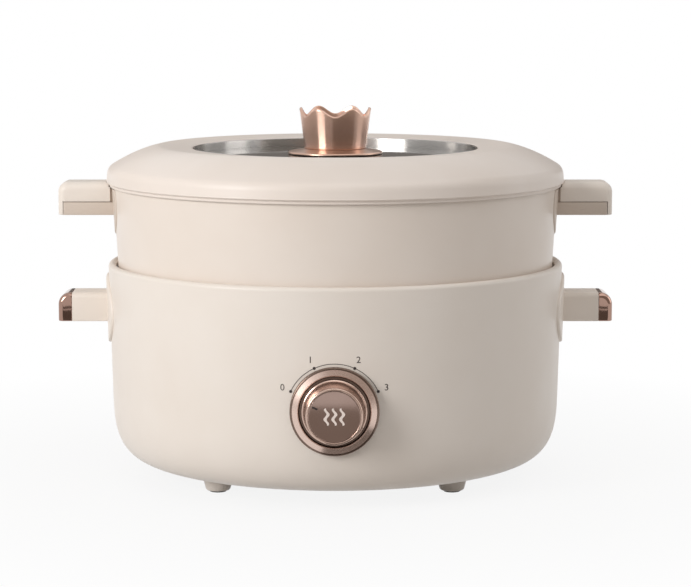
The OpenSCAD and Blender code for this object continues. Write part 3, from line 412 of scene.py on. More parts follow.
def join(shapes: Iterable[BMesh]) -> BMesh:
    """Gather several shapes, which are freed, in one."""
    whole = bmesh.new()
    for shape in shapes:
        carrier = meshed(shape, "carrier")
        whole.from_mesh(carrier)
        bpy.data.meshes.remove(carrier)
    return whole


def soften(shape: BMesh, edges: Sequence[BMEdge], rounding: float) -> None:
    """Round some edges of a shape, by a width in millimetres."""
    bmesh.ops.bevel(shape, geom=edges, offset=rounding * MM, segments=3, profile=0.5, affect="EDGES",
                    clamp_overlap=True, material=-1)


def trim(shape: BMesh, at: Place, facing: Place, rounding: float = 0.0) -> None:
    """Cut off what lies beyond a plane, close the cut and round its edge.

    Args:
        shape: shape to cut.
        at: point of the plane in millimetres.
        facing: direction of the side that goes.
        rounding: width of the rounding in millimetres.
    """
    cut = bmesh.ops.bisect_plane(shape, geom=shape.verts[:] + shape.edges[:] + shape.faces[:], dist=1e-7,
                                 plane_co=Vector(at) * MM, plane_no=Vector(facing), clear_outer=True)
    rim = [e for e in cut["geom_cut"] if isinstance(e, BMEdge)]
    bmesh.ops.holes_fill(shape, edges=rim, sides=0)
    if rounding:
        soften(shape, rim, rounding)
    outward(shape)


def grip_bar(x0: float, x1: float, z0: float, z1: float, half: float, nose: float, side: float) -> BMesh:
    """Make a bar along +X with a rounded nose and rounded flanks.

    Args:
        x0: inner end.
        x1: outer end.
        z0: underside.
        z1: upper side.
        half: half of the width.
        nose: rounding of the upper corner of the outer end, seen from the front.
        side: rounding of the flanks' edges.

    Returns:
        The closed bar.
    """
    shape = bmesh.new()
    spare = 2 * side
    corners = [shape.verts.new(Vector((x, side - half, z)) * MM)
               for x, z in ((x0 - spare, z0 - spare), (x1, z0 - spare), (x1, z1), (x0 - spare, z1))]
    for ends in zip(corners, corners[1:] + corners[:1]):
        shape.edges.new(ends)
    bmesh.ops.bevel(shape, geom=[corners[2]], offset=nose * MM, segments=12, profile=0.5, affect="VERTICES",
                    material=-1)
    grow(shape, bmesh.ops.edgeloop_fill(shape, edges=shape.edges[:])["faces"], (0, 2 * (half - side), 0))
    outward(shape)
    turns = [math.radians(90 * i / 8) for i in range(9)]
    for flank in [f for f in shape.faces if abs(f.normal.y) > 0.9]:
        for here, there in zip(turns, turns[1:]):
            bmesh.ops.inset_region(shape, faces=[flank], use_even_offset=True,
                                   thickness=side * (math.cos(here) - math.cos(there)) * MM,
                                   depth=side * (math.sin(there) - math.sin(here)) * MM)
    trim(shape, (0, 0, z0), (0, 0, -1), 0.5)
    trim(shape, (x0, 0, 0), (-1, 0, 0))
    tidy(shape)
    return shape


def wall_pad(half_y: float, half_z: float, proud: float, wall: Callable[[float], float], z: float,
             cut_z: float | None = None) -> BMesh:
    """Make an oval pad that lies on a round wall at the +X side.

    Args:
        half_y: half of the oval's width.
        half_z: half of the oval's height.
        proud: how far the pad stands off the wall.
        wall: radius of the wall at a height.
        z: height of the oval's middle.
        cut_z: height at which the pad is cut off, if it is.

    Returns:
        The closed pad.
    """
    shape = bmesh.new()
    bmesh.ops.create_circle(shape, cap_ends=True, cap_tris=True, segments=96, radius=1.0)
    loop = [e for e in shape.edges if e.is_boundary]
    for share, rise in PAD_RINGS:
        grown = bmesh.ops.extrude_edge_only(shape, edges=loop)["geom"]
        loop = [e for e in grown if isinstance(e, BMEdge) and all(v in grown for v in e.verts)]
        for vert in {v for e in loop for v in e.verts}:
            vert.co = Vector((vert.co.x, vert.co.y, 0)).normalized() * share
            vert.co.z = rise * proud
    bmesh.ops.edgeloop_fill(shape, edges=loop)
    tidy(shape)
    bmesh.ops.scale(shape, verts=shape.verts, vec=Vector((half_y, half_z, 1)) * MM)
    if cut_z is not None:
        trim(shape, (0, cut_z - z, 0), (0, 1, 0))
    for vert in shape.verts:
        y, up, height = vert.co / MM
        radius = wall(z + up) + height
        vert.co = Vector((math.sqrt(radius * radius - y * y), y, z + up)) * MM
    outward(shape)
    return shape


def bake(made: Object) -> None:
    """Put the result of an object's modifiers in its mesh and take them off."""
    graph = bpy.context.evaluated_depsgraph_get()
    baked = bpy.data.meshes.new_from_object(made.evaluated_get(graph))
    made.modifiers.clear()
    old, made.data = made.data, baked
    bpy.data.meshes.remove(old)
    baked.name = made.name


def combine(first: BMesh, second: BMesh, joining: Joining) -> BMesh:
    """Make one closed shape of two, which are freed.

    Args:
        first: shape that is added to or cut.
        second: shape that is added or cut out.
        joining: whether the second is added or cut out.

    Returns:
        The closed shape.
    """
    kept, other = (placed("carrier", meshed(shape, "carrier")) for shape in (first, second))
    step = kept.modifiers.new("joining", "BOOLEAN")
    step.object = other
    step.operation = joining.value
    step.solver = "EXACT"
    bake(kept)
    whole = bmesh.new()
    whole.from_mesh(kept.data)
    bpy.data.batch_remove((kept, kept.data, other, other.data))
    tidy(whole)
    return whole


def to_side(shape: BMesh, side: Side) -> BMesh:
    """Mirror a shape that was made at the right to its own side."""
    if side is Side.LEFT:
        bmesh.ops.scale(shape, verts=shape.verts, vec=(-1, 1, 1))
        bmesh.ops.reverse_faces(shape, faces=shape.faces)
    return shape


@dataclass(frozen=True)
class Cooker:
    """Sizes that several sub-assemblies share, about the cooker's own axis."""

    axis_y: float = AXIS_Y
    pot_rim_r: float = 131.3
    pot_rim_z: float = 174.0
    pot_draft: float = 0.055
    seat_z: float = 86.0
    base_rim_r: float = 134.3655
    base_rim_z: float = 126.1
    rim_round: float = 2.4
    base_draft: float = 0.0255
    foot_h: float = 8.4

    def pot_r(self, z: float) -> float:
        """Radius of the pot's outside at a height."""
        return self.pot_rim_r - (self.pot_rim_z - z) * self.pot_draft

    def shell_r(self, z: float) -> float:
        """Radius of the base's outside at a height above its bottom corner."""
        return self.base_rim_r - (self.base_rim_z - self.rim_round - z) * self.base_draft

    def rim_arc(self, first_r: float, last_r: float, steps: int) -> Points:
        """Points of the base's rolled rim between two radii."""
        centre_r, centre_z = self.base_rim_r - self.rim_round, self.base_rim_z - self.rim_round
        first, last = (math.acos(min((r - centre_r) / self.rim_round, 1.0)) for r in (first_r, last_r))
        return arc((centre_r, centre_z), self.rim_round, first, last, steps)

    def piece(self, name: str, shape: BMesh, finish: Finish, body: str, slot: str,
              replaces: Sequence[str] = (), second: Finish | None = None, sharp: float = 40.0,
              flat: bool = False) -> Object:
        """Make an object of a shape and attach it to its body.

        Args:
            name: name of the piece.
            shape: its shape about the cooker's axis; it is freed.
            finish: finish of its faces.
            body: body that it rides on.
            slot: not used.
            replaces: nodes that it stands for.
            second: finish of the faces with material index 1.
            sharp: angle in degrees from which an edge is shaded sharp.
            flat: whether its wide faces are shaded flat up to their rounded edges.

        Returns:
            The object.
        """
        shift(shape, y=self.axis_y)
        mesh = meshed(shape, name)
        mesh.shade_smooth()
        mesh.set_sharp_from_angle(angle=math.radians(sharp))
        mesh.materials.append(finish.material())
        if second:
            mesh.materials.append(second.material())
        made = placed(name, mesh)
        if flat:
            made.modifiers.new("wide_faces", "WEIGHTED_NORMAL").keep_sharp = True
            bake(made)
        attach(made, body)
        if replaces:
            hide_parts(*replaces)
        LOG.info("%s rides on %s, %d faces", name, body, len(made.data.polygons))
        return made


@dataclass
class BaseShell:
    """Moulded shell of the base with its rim ring, feet and inlet."""

    cooker: Cooker
    corner_run: float = 35.5
    corner_rise: float = 42.0
    corner_n: float = 3.3
    corner_steps: int = 40
    wall: float = 2.6
    bottom_open_r: float = 74.0
    rebate_r: float = 131.6655
    ledge_r: float = 130.3655
    ledge_z: float = 121.2
    foot_ring: float = 95.0
    foot_r: float = 8.6
    foot_tip_r: float = 6.3
    pad_r: float = 4.9
    pad_h: float = 2.6
    inlet_z: float = 45.0
    inlet_seat_y: float = 132.6575
    inlet_w: float = 27.0
    inlet_h: float = 19.6
    inlet_cut: float = 0.28
    inlet_edge: float = 3.2
    inlet_wall: float = 1.6
    inlet_flange_t: float = 1.6
    socket_depth: float = 17.0
    inlet_depth: float = 26.0

    def build(self) -> None:
        """Build the outside of the base."""
        self.shell()
        self.rim()
        self.feet()
        self.inlet()

    def corner(self, inset: float) -> Points:
        """Points of the bottom corner, from the wall to the bottom, at an inset from the outer face."""
        c = self.cooker
        knee_z = c.foot_h + self.corner_rise
        power = 2 / self.corner_n
        line = []
        for i in range(self.corner_steps + 1):
            turn = math.radians(90 * i / self.corner_steps)
            drop = (self.corner_rise - inset) * max(math.sin(turn), 0.0) ** power
            run = (self.corner_run - inset) * max(math.cos(turn), 0.0) ** power
            line.append((c.shell_r(knee_z) - self.corner_run + run - drop * c.base_draft, knee_z - drop))
        return line

    def shell(self) -> None:
        """Build the shell with the opening for the inlet and the seat around it."""
        c = self.cooker
        low_z = self.ledge_z - 8
        outline = [(self.bottom_open_r, c.foot_h, 0.6), *reversed(self.corner(0.0)),
                   *c.rim_arc(c.base_rim_r, self.rebate_r, 14),
                   (self.rebate_r, self.ledge_z), (self.ledge_r, self.ledge_z),
                   (self.ledge_r, self.ledge_z - 3.5), (c.shell_r(low_z) - self.wall, low_z),
                   *self.corner(self.wall), (self.bottom_open_r, c.foot_h + self.wall)]
        shell = combine(lathe(outline), self.inlet_block(0.2, -9.0, 3.0), Joining.CUT)
        c.piece("base_shell_moulding", shell, Finishes.base, "base", "base_cream", ["base_shell"])
        seat = self.inlet_block(2 * self.inlet_edge + 2.0, -5.5, 0.0, self.inlet_edge + 0.9)
        c.piece("inlet_seat", seat, Finishes.base, "base", "base_cream")

    def inlet_block(self, margin: float, back: float, front: float, wall: float = 0.0) -> BMesh:
        """Make a block with the inlet's outline, two lower corners cut.

        Args:
            margin: how much wider the block is than the inlet.
            back: distance of its back from the inlet's seat.
            front: distance of its front from the inlet's seat.
            wall: wall that is left around an opening through the block, if it has one.

        Returns:
            The closed block.
        """
        x, z = (self.inlet_w + margin) / 2, (self.inlet_h + margin) / 2
        cut = 2 * z * self.inlet_cut
        shape = bmesh.new()
        corners = [(-x, z), (x, z), (x, cut - z), (x - cut, -z), (cut - x, -z), (-x, cut - z)]
        face = shape.faces.new([shape.verts.new(Vector((a, self.inlet_seat_y + front, self.inlet_z + b)) * MM)
                                for a, b in corners])
        grow(shape, [face], (0, back - front, 0))
        outward(shape)
        if wall:
            ends = self.block_ends(shape)
            for end in ends:
                bmesh.ops.inset_region(shape, faces=[end], thickness=wall * MM, use_even_offset=True)
            rims = [e for end in ends for e in end.edges]
            bmesh.ops.delete(shape, geom=ends, context="FACES_ONLY")
            bmesh.ops.bridge_loops(shape, edges=rims)
            outward(shape)
        return shape

    def block_ends(self, shape: BMesh) -> list[BMFace]:
        """Find the back and the front face of a block."""
        faces = sorted(shape.faces, key=lambda f: f.calc_center_median().y)
        return [faces[0], faces[-1]]

    def rim(self) -> None:
        """Build the ring that closes the rim above the liner."""
        c = self.cooker
        inner, outer, foot_z = c.pot_r(self.ledge_z) + 1.5, self.rebate_r - 0.1, self.ledge_z + 0.7
        outline = [(inner, foot_z), (outer, foot_z), *c.rim_arc(outer, inner + 1.4, 6),
                   (inner, c.base_rim_z - c.rim_round + 0.6, 0.3)]
        c.piece("base_rim_ring", lathe(outline), Finishes.base, "base", "base_cream", ["base_rim"])

    def feet(self) -> None:
        """Build the four feet and their rubber pads."""
        c = self.cooker
        stem_z, socket_r, socket_z = c.foot_h + self.wall + 0.1, self.pad_r + 0.1, self.pad_h + 0.1
        foot = [(0, socket_z), (socket_r, socket_z), (socket_r, 0.9, 0.2), (self.foot_tip_r, 0.9, 0.4),
                (self.foot_tip_r + 0.8, 1.7, 0.3), (self.foot_r, c.foot_h - 0.8, 0.3),
                (self.foot_r, c.foot_h), (3.0, c.foot_h), (3.0, stem_z), (3.8, stem_z), (2.2, stem_z + 1.6),
                (0, stem_z + 1.6)]
        pad = [(0, 0), (self.pad_r, 0, 0.5), (self.pad_r, self.pad_h), (0, self.pad_h)]
        plan = (("base_foot_set", foot, Finishes.base, "base_cream", "base_feet"),
                ("rubber_pad_set", pad, Finishes.rubber, "rubber", "foot_pads"))
        for name, outline, finish, slot, node in plan:
            shape = lathe(outline, 64)
            shift(shape, self.foot_ring / math.sqrt(2), self.foot_ring / math.sqrt(2))
            bmesh.ops.spin(shape, geom=shape.verts[:] + shape.edges[:] + shape.faces[:], cent=(0, 0, 0),
                           axis=(0, 0, 1), angle=1.5 * math.pi, steps=3, use_duplicate=True)
            outward(shape)
            c.piece(name, shape, finish, "base", slot, [node])

    def inlet(self) -> None:
        """Build the inlet with its flange and its socket."""
        shape = self.inlet_block(2 * self.inlet_edge, 0.0, self.inlet_flange_t)
        back, front = self.block_ends(shape)
        for face, margin, reach in ((front, self.inlet_edge + self.inlet_wall, -self.socket_depth),
                                    (back, self.inlet_edge, self.inlet_flange_t - self.inlet_depth)):
            bmesh.ops.inset_region(shape, faces=[face], thickness=margin * MM, use_even_offset=True)
            grow(shape, [face], (0, reach, 0))
            bmesh.ops.delete(shape, geom=[face], context="FACES_ONLY")
        outward(shape)
        edge_y = (self.inlet_seat_y + self.inlet_flange_t) * MM
        soften(shape, [e for e in shape.edges if all(abs(v.co.y - edge_y) < SAME for v in e.verts)], 0.5)
        self.cooker.piece("inlet_moulding", shape, Finishes.black, "base", "black_plastic", ["power_inlet"])


@dataclass
class SideGrips:
    """Grips of the base and of the pot on both sides."""

    cooker: Cooker
    base_end: float = 163.965
    base_z: float = 90.9
    base_top: float = 107.8
    base_half: float = 12.5
    cap_x: float = 155.7655
    base_root: float = 132.4
    base_nose: float = 7.0
    base_side: float = 3.0
    base_pad: Place = (35.0, 20.5, 1.7)
    base_pad_z: float = 97.95
    pot_end: float = 163.3
    pot_start: float = 132.5
    pot_root: float = 128.6
    pot_z: float = 154.0
    pot_top: float = 173.3
    pot_half: float = 12.5
    pot_split: float = 161.9
    pot_nose: float = 5.8
    pot_side: float = 4.6
    skirt_t: float = 2.9
    notch_r: float = 135.4
    notch_z: float = 172.8
    lip_r: float = 133.9
    lip_z: float = 170.5
    pot_pad: Place = (31.0, 20.5, 0.8)
    pot_pad_z: float = 162.5
    pot_pad_top: float = 170.0
    seam: float = 0.3
    gap: float = 0.35

    def build(self) -> None:
        """Build the grips of both sides."""
        for side in Side:
            self.base_grip(side)
            self.pot_grip(side)

    def base_bar(self) -> BMesh:
        """Make the whole bar of a base grip."""
        return grip_bar(self.base_root, self.base_end, self.base_z, self.base_top, self.base_half,
                        self.base_nose, self.base_side)

    def base_grip(self, side: Side) -> None:
        """Build a base grip with its metal cap."""
        c = self.cooker
        bar = self.base_bar()
        trim(bar, (self.cap_x, 0, 0), (1, 0, 0), self.seam)
        pad = wall_pad(*self.base_pad, c.shell_r, self.base_pad_z)
        c.piece("base_grip_" + side.word, to_side(join((bar, pad)), side), Finishes.grip, "base",
                "grip_cream", ["base_handle_" + side.word])
        cap = self.base_bar()
        trim(cap, (self.cap_x + 0.05, 0, 0), (-1, 0, 0), self.seam)
        c.piece("grip_cap_" + side.word, to_side(cap, side), Finishes.cap, "base", "rose_gold",
                ["handle_cap_" + side.word], flat=True)

    def pot_bar(self, x0: float, x1: float, z0: float, z1: float) -> BMesh:
        """Cut the stretch from x0 to x1 and from z0 to z1 out of the bar of a pot grip."""
        bar = grip_bar(self.pot_root, self.pot_end, self.pot_z, self.pot_top, self.pot_half, self.pot_nose,
                       self.pot_side)
        if z0 > self.pot_z:
            trim(bar, (0, 0, z0), (0, 0, -1), self.seam)
        if z1 < self.pot_top:
            trim(bar, (0, 0, z1), (0, 0, 1), self.seam)
        if x0 > self.pot_root:
            trim(bar, (x0, 0, 0), (-1, 0, 0))
        if x1 < self.pot_end:
            trim(bar, (x1, 0, 0), (1, 0, 0))
        return bar

    def pot_grip(self, side: Side) -> None:
        """Build a pot grip: the upper shell with its end skirt, and the darker insert below."""
        c = self.cooker
        seam_x = self.pot_end - self.skirt_t
        shell = combine(self.pot_bar(self.pot_start, seam_x, self.pot_split, self.pot_top),
                        self.pot_bar(seam_x, self.pot_end, self.pot_z, self.pot_top), Joining.ADD)
        inner_r, over_z = self.pot_start - 10, self.pot_top + 5
        notch = lathe([(inner_r, self.lip_z), (self.lip_r, self.lip_z), (self.lip_r, self.notch_z),
                       (self.notch_r, self.notch_z), (self.notch_r, over_z), (inner_r, over_z)])
        shell = combine(shell, notch, Joining.CUT)
        c.piece("pot_grip_" + side.word, to_side(shell, side), Finishes.grip, "pot", "grip_cream",
                ["pot_handle_" + side.word])
        bar = self.pot_bar(self.pot_root, seam_x - self.gap, self.pot_z, self.pot_split - self.gap)
        neck = grip_bar(self.pot_root, self.pot_start + 0.3, self.pot_split - 0.5, self.lip_z - 1.0,
                        self.pot_half - 1.5, 0.4, 0.3)
        pad = wall_pad(*self.pot_pad, c.pot_r, self.pot_pad_z, self.pot_pad_top)
        c.piece("pot_insert_bar_" + side.word, to_side(join((bar, neck, pad)), side), Finishes.insert, "pot",
                "insert_cream", ["pot_insert_" + side.word])


@dataclass
class DialUnit:
    """Heat dial with its bezel, its printed scale and its face."""

    cooker: Cooker
    z: float = DIAL_Z
    seat_y: float = -133.79
    bezel_r: float = 24.6
    bezel_depth: float = 2.6
    bezel_edge: float = 1.5
    skirt_t: float = 1.7
    lip_w: float = 1.3
    floor_r: float = 19.2
    shaft_r: float = 5.1
    dial_r: float = 18.1
    tip_r: float = 15.2
    length: float = 17.0
    back: float = 1.8
    face_r: float = 14.2
    face_inset: float = 0.3
    pointer_size: Place = (1.1, 0.12, 3.2)
    pointer_inset: float = 2.6
    wave_gap: float = 4.2
    wave_w: float = 1.7
    wave_h: float = 9.4
    wave_t: float = 0.14
    scale_r: float = 26.2
    marks: tuple[float, ...] = (-66.0, -25.0, 25.0, 66.0)
    dot_r: float = 0.85
    label_r: float = 31.2
    label_h: float = 3.6
    figure_share: float = 0.7
    line: float = 0.36
    ink_t: float = 0.1
    ink_sink: float = 0.02

    def build(self) -> None:
        """Build the dial, its bezel and all marks."""
        self.bezel()
        self.knob()
        self.pointer()
        self.steam_waves()
        self.scale()

    @property
    def front(self) -> float:
        """Depth of the face that the marks lie on."""
        return self.seat_y - self.length + self.face_inset

    def turned(self, outline: Outline) -> BMesh:
        """Turn an outline about the dial's axis and set it on its seat."""
        shape = lathe(outline, 160, Turning.DIAL)
        shift(shape, y=self.seat_y, z=self.z)
        return shape

    def bezel(self) -> None:
        """Build the coned bezel around the dial."""
        skirt_r, lip_r = self.bezel_r - self.skirt_t, self.bezel_r - self.lip_w
        outline = [(self.shaft_r, 0.0), (skirt_r, 0.0), (skirt_r, -5.0), (self.bezel_r, -5.0),
                   (self.bezel_r, self.bezel_edge, 0.7), (lip_r, self.bezel_edge + 0.2, 0.3),
                   (self.floor_r + 0.8, self.bezel_depth, 0.5), (self.floor_r, 1.0), (self.shaft_r, 1.0)]
        shape = self.turned(outline)
        # Faces at the outer edge and on the groove floor by the dial take the darker tint; on the groove
        # floor this is painted shade.
        for face in shape.faces:
            middle = face.calc_center_median() - Vector((0, 0, self.z * MM))
            face.material_index = int(not (self.floor_r + 0.5) * MM < middle.xz.length < lip_r * MM)
        self.cooker.piece("dial_bezel_ring", shape, Finishes.bezel, "base", "dial_metal", ["dial_bezel"],
                          Finishes.lip, flat=True)

    def knob(self) -> None:
        """Build the dial with its bright foot and front rim, and its face."""
        end, back, rim_r, seat_r = self.length, self.back, self.tip_r + 0.4, self.face_r + 0.05
        inner_r = self.dial_r - 2.4
        outline = [(0, back + 6.8), (6.0, back + 6.8), (6.0, end - 3.4), (self.tip_r - 1.6, end - 3.4),
                   (inner_r, back + 2.2), (inner_r, back), (self.dial_r, back, 0.3),
                   (self.dial_r, back + 1.3, 0.5), (self.dial_r - 0.8, back + 1.7, 0.2),
                   (rim_r, end - 1.6, 0.4), (rim_r, end, 0.7), (seat_r, end, 0.25), (seat_r, end - 1.5),
                   (0, end - 1.5)]
        self.cooker.piece("dial_turned", self.turned(outline), Finishes.dial, "dial", "dial_metal",
                          ["dial_knob"], flat=True)
        top = end - self.face_inset
        face = [(0, end - 1.5), (self.face_r, end - 1.5), (self.face_r, top, 0.3), (self.face_r - 0.6, top),
                (0, top)]
        self.cooker.piece("dial_face_plate", self.turned(face), Finishes.face, "dial", "mirror_face",
                          ["dial_face"], flat=True)

    def pointer(self) -> None:
        """Build the pointer on the dial's face."""
        shape = bmesh.new()
        size = Matrix.Diagonal((*(s * MM for s in self.pointer_size), 1.0))
        bmesh.ops.create_cube(shape, size=1.0, matrix=size)
        soften(shape, [e for e in shape.edges if abs(e.verts[0].co.y - e.verts[1].co.y) > SAME], 0.25)
        shift(shape, z=self.face_r - self.pointer_inset)
        bmesh.ops.rotate(shape, verts=shape.verts, cent=(0, 0, 0),
                         matrix=Matrix.Rotation(math.radians(self.marks[0]), 3, "Y"))
        shift(shape, y=self.front, z=self.z)
        self.cooker.piece("dial_pointer", shape, Finishes.ink, "dial", "black_plastic")

    def steam_waves(self) -> None:
        """Build the three steam waves on the dial's face."""
        taper, sway, pitch = 0.55, 0.8, 1.15
        waves = []
        for x in (-self.wave_gap, 0.0, self.wave_gap):
            ribbon = bmesh.new()
            bmesh.ops.create_grid(ribbon, x_segments=1, y_segments=24, size=0.5,
                                  matrix=Matrix.Diagonal((self.wave_w, self.wave_h, 1.0, 1.0)))
            for vert in ribbon.verts:
                along = vert.co.y
                swell = 1 - taper * (abs(along) / (self.wave_h / 2)) ** 3
                vert.co = Vector((x + vert.co.x * swell + sway * math.sin(along * pitch), 0, along)) * MM
            grow(ribbon, ribbon.faces[:], (0, -self.wave_t, 0))
            tidy(ribbon)
            shift(ribbon, y=self.front, z=self.z)
            waves.append(ribbon)
        self.cooker.piece("dial_steam_waves", join(waves), Finishes.enamel, "dial", "ceramic")

    def scale(self) -> None:
        """Print the scale on the wall: an arc, four dots and the numbers 0 to 3."""
        shapes = [self.arc_line()]
        for number, angle in enumerate(self.marks):
            way = Vector((math.sin(math.radians(angle)), math.cos(math.radians(angle)), 0))
            dot = bmesh.new()
            bmesh.ops.create_circle(dot, cap_ends=True, segments=32, radius=self.dot_r)
            bmesh.ops.translate(dot, verts=dot.verts, vec=way * self.scale_r)
            shapes += [dot, self.numeral(str(number), way * self.label_r)]
        self.cooker.piece("dial_scale", self.printed(join(shapes)), Finishes.ink, "base", "black_plastic")

    def arc_line(self) -> BMesh:
        """Draw the thin arc through the dots."""
        shape = bmesh.new()
        half = math.radians(self.marks[-1])
        ends = [shape.verts.new(((self.scale_r + s * self.line / 2) * math.sin(-half),
                                 (self.scale_r + s * self.line / 2) * math.cos(half), 0)) for s in (-1, 1)]
        edge = shape.edges.new(ends)
        bmesh.ops.spin(shape, geom=ends + [edge], cent=(0, 0, 0), axis=(0, 0, -1), angle=2 * half, steps=72)
        return shape

    def numeral(self, text: str, middle: Vector) -> BMesh:
        """Draw one number of the scale, flat about its middle."""
        curve = bpy.data.curves.new("numeral", "FONT")
        curve.body = text
        curve.size = self.label_h / self.figure_share
        curve.align_x = curve.align_y = "CENTER"
        carrier = placed("numeral", curve)
        mesh = bpy.data.meshes.new_from_object(carrier.evaluated_get(bpy.context.evaluated_depsgraph_get()))
        shape = bmesh.new()
        shape.from_mesh(mesh)
        bpy.data.batch_remove((carrier, curve, mesh))
        bmesh.ops.translate(shape, verts=shape.verts, vec=middle)
        return shape

    def printed(self, flat: BMesh) -> BMesh:
        """Lay a flat drawing, in millimetres about the dial's axis, on the wall as a thin layer of ink."""
        bmesh.ops.remove_doubles(flat, verts=flat.verts, dist=1e-4)
        flat.normal_update()
        bmesh.ops.reverse_faces(flat, faces=[f for f in flat.faces if f.normal.z < 0])
        grow(flat, flat.faces[:], (0, 0, self.ink_t / MM))
        for vert in flat.verts:
            x, up, layer = vert.co
            radius = self.cooker.shell_r(self.z + up) + layer - self.ink_sink
            vert.co = Vector((x, -math.sqrt(radius * radius - x * x), self.z + up)) * MM
        return flat


@dataclass
class PotUnit:
    """Pot with a cream outside and a dark non-stick inside."""

    cooker: Cooker
    wall: float = 2.5
    floor: float = 3.0
    corner: float = 18.0
    edge: float = 0.5
    lining_z: float = 30.0

    def build(self) -> None:
        """Build the pot."""
        c = self.cooker
        low, turn_z, inner_corner = c.seat_z, c.seat_z + self.corner, self.corner - self.floor
        wall_r = c.pot_r(turn_z)
        outline = [(0, low), *arc((wall_r - self.corner, turn_z), self.corner, -math.pi / 2, 0.0, 16),
                   (c.pot_rim_r, c.pot_rim_z, self.edge), (c.pot_rim_r - self.wall, c.pot_rim_z, self.edge),
                   *arc((wall_r - self.wall - inner_corner, turn_z), inner_corner, 0.0, -math.pi / 2, 16),
                   (0, low + self.floor)]
        shape = lathe(outline)
        for face in shape.faces:
            middle, normal = face.calc_center_median(), face.normal
            inward = middle.x * normal.x + middle.y * normal.y < -1e-4
            bottom = normal.z > 0.3 and middle.z < (low + self.lining_z) * MM
            face.material_index = int(inward or bottom)
        c.piece("pot_body", shape, Finishes.pot, "pot", "pot_cream", ["pot_vessel"], Finishes.lining)


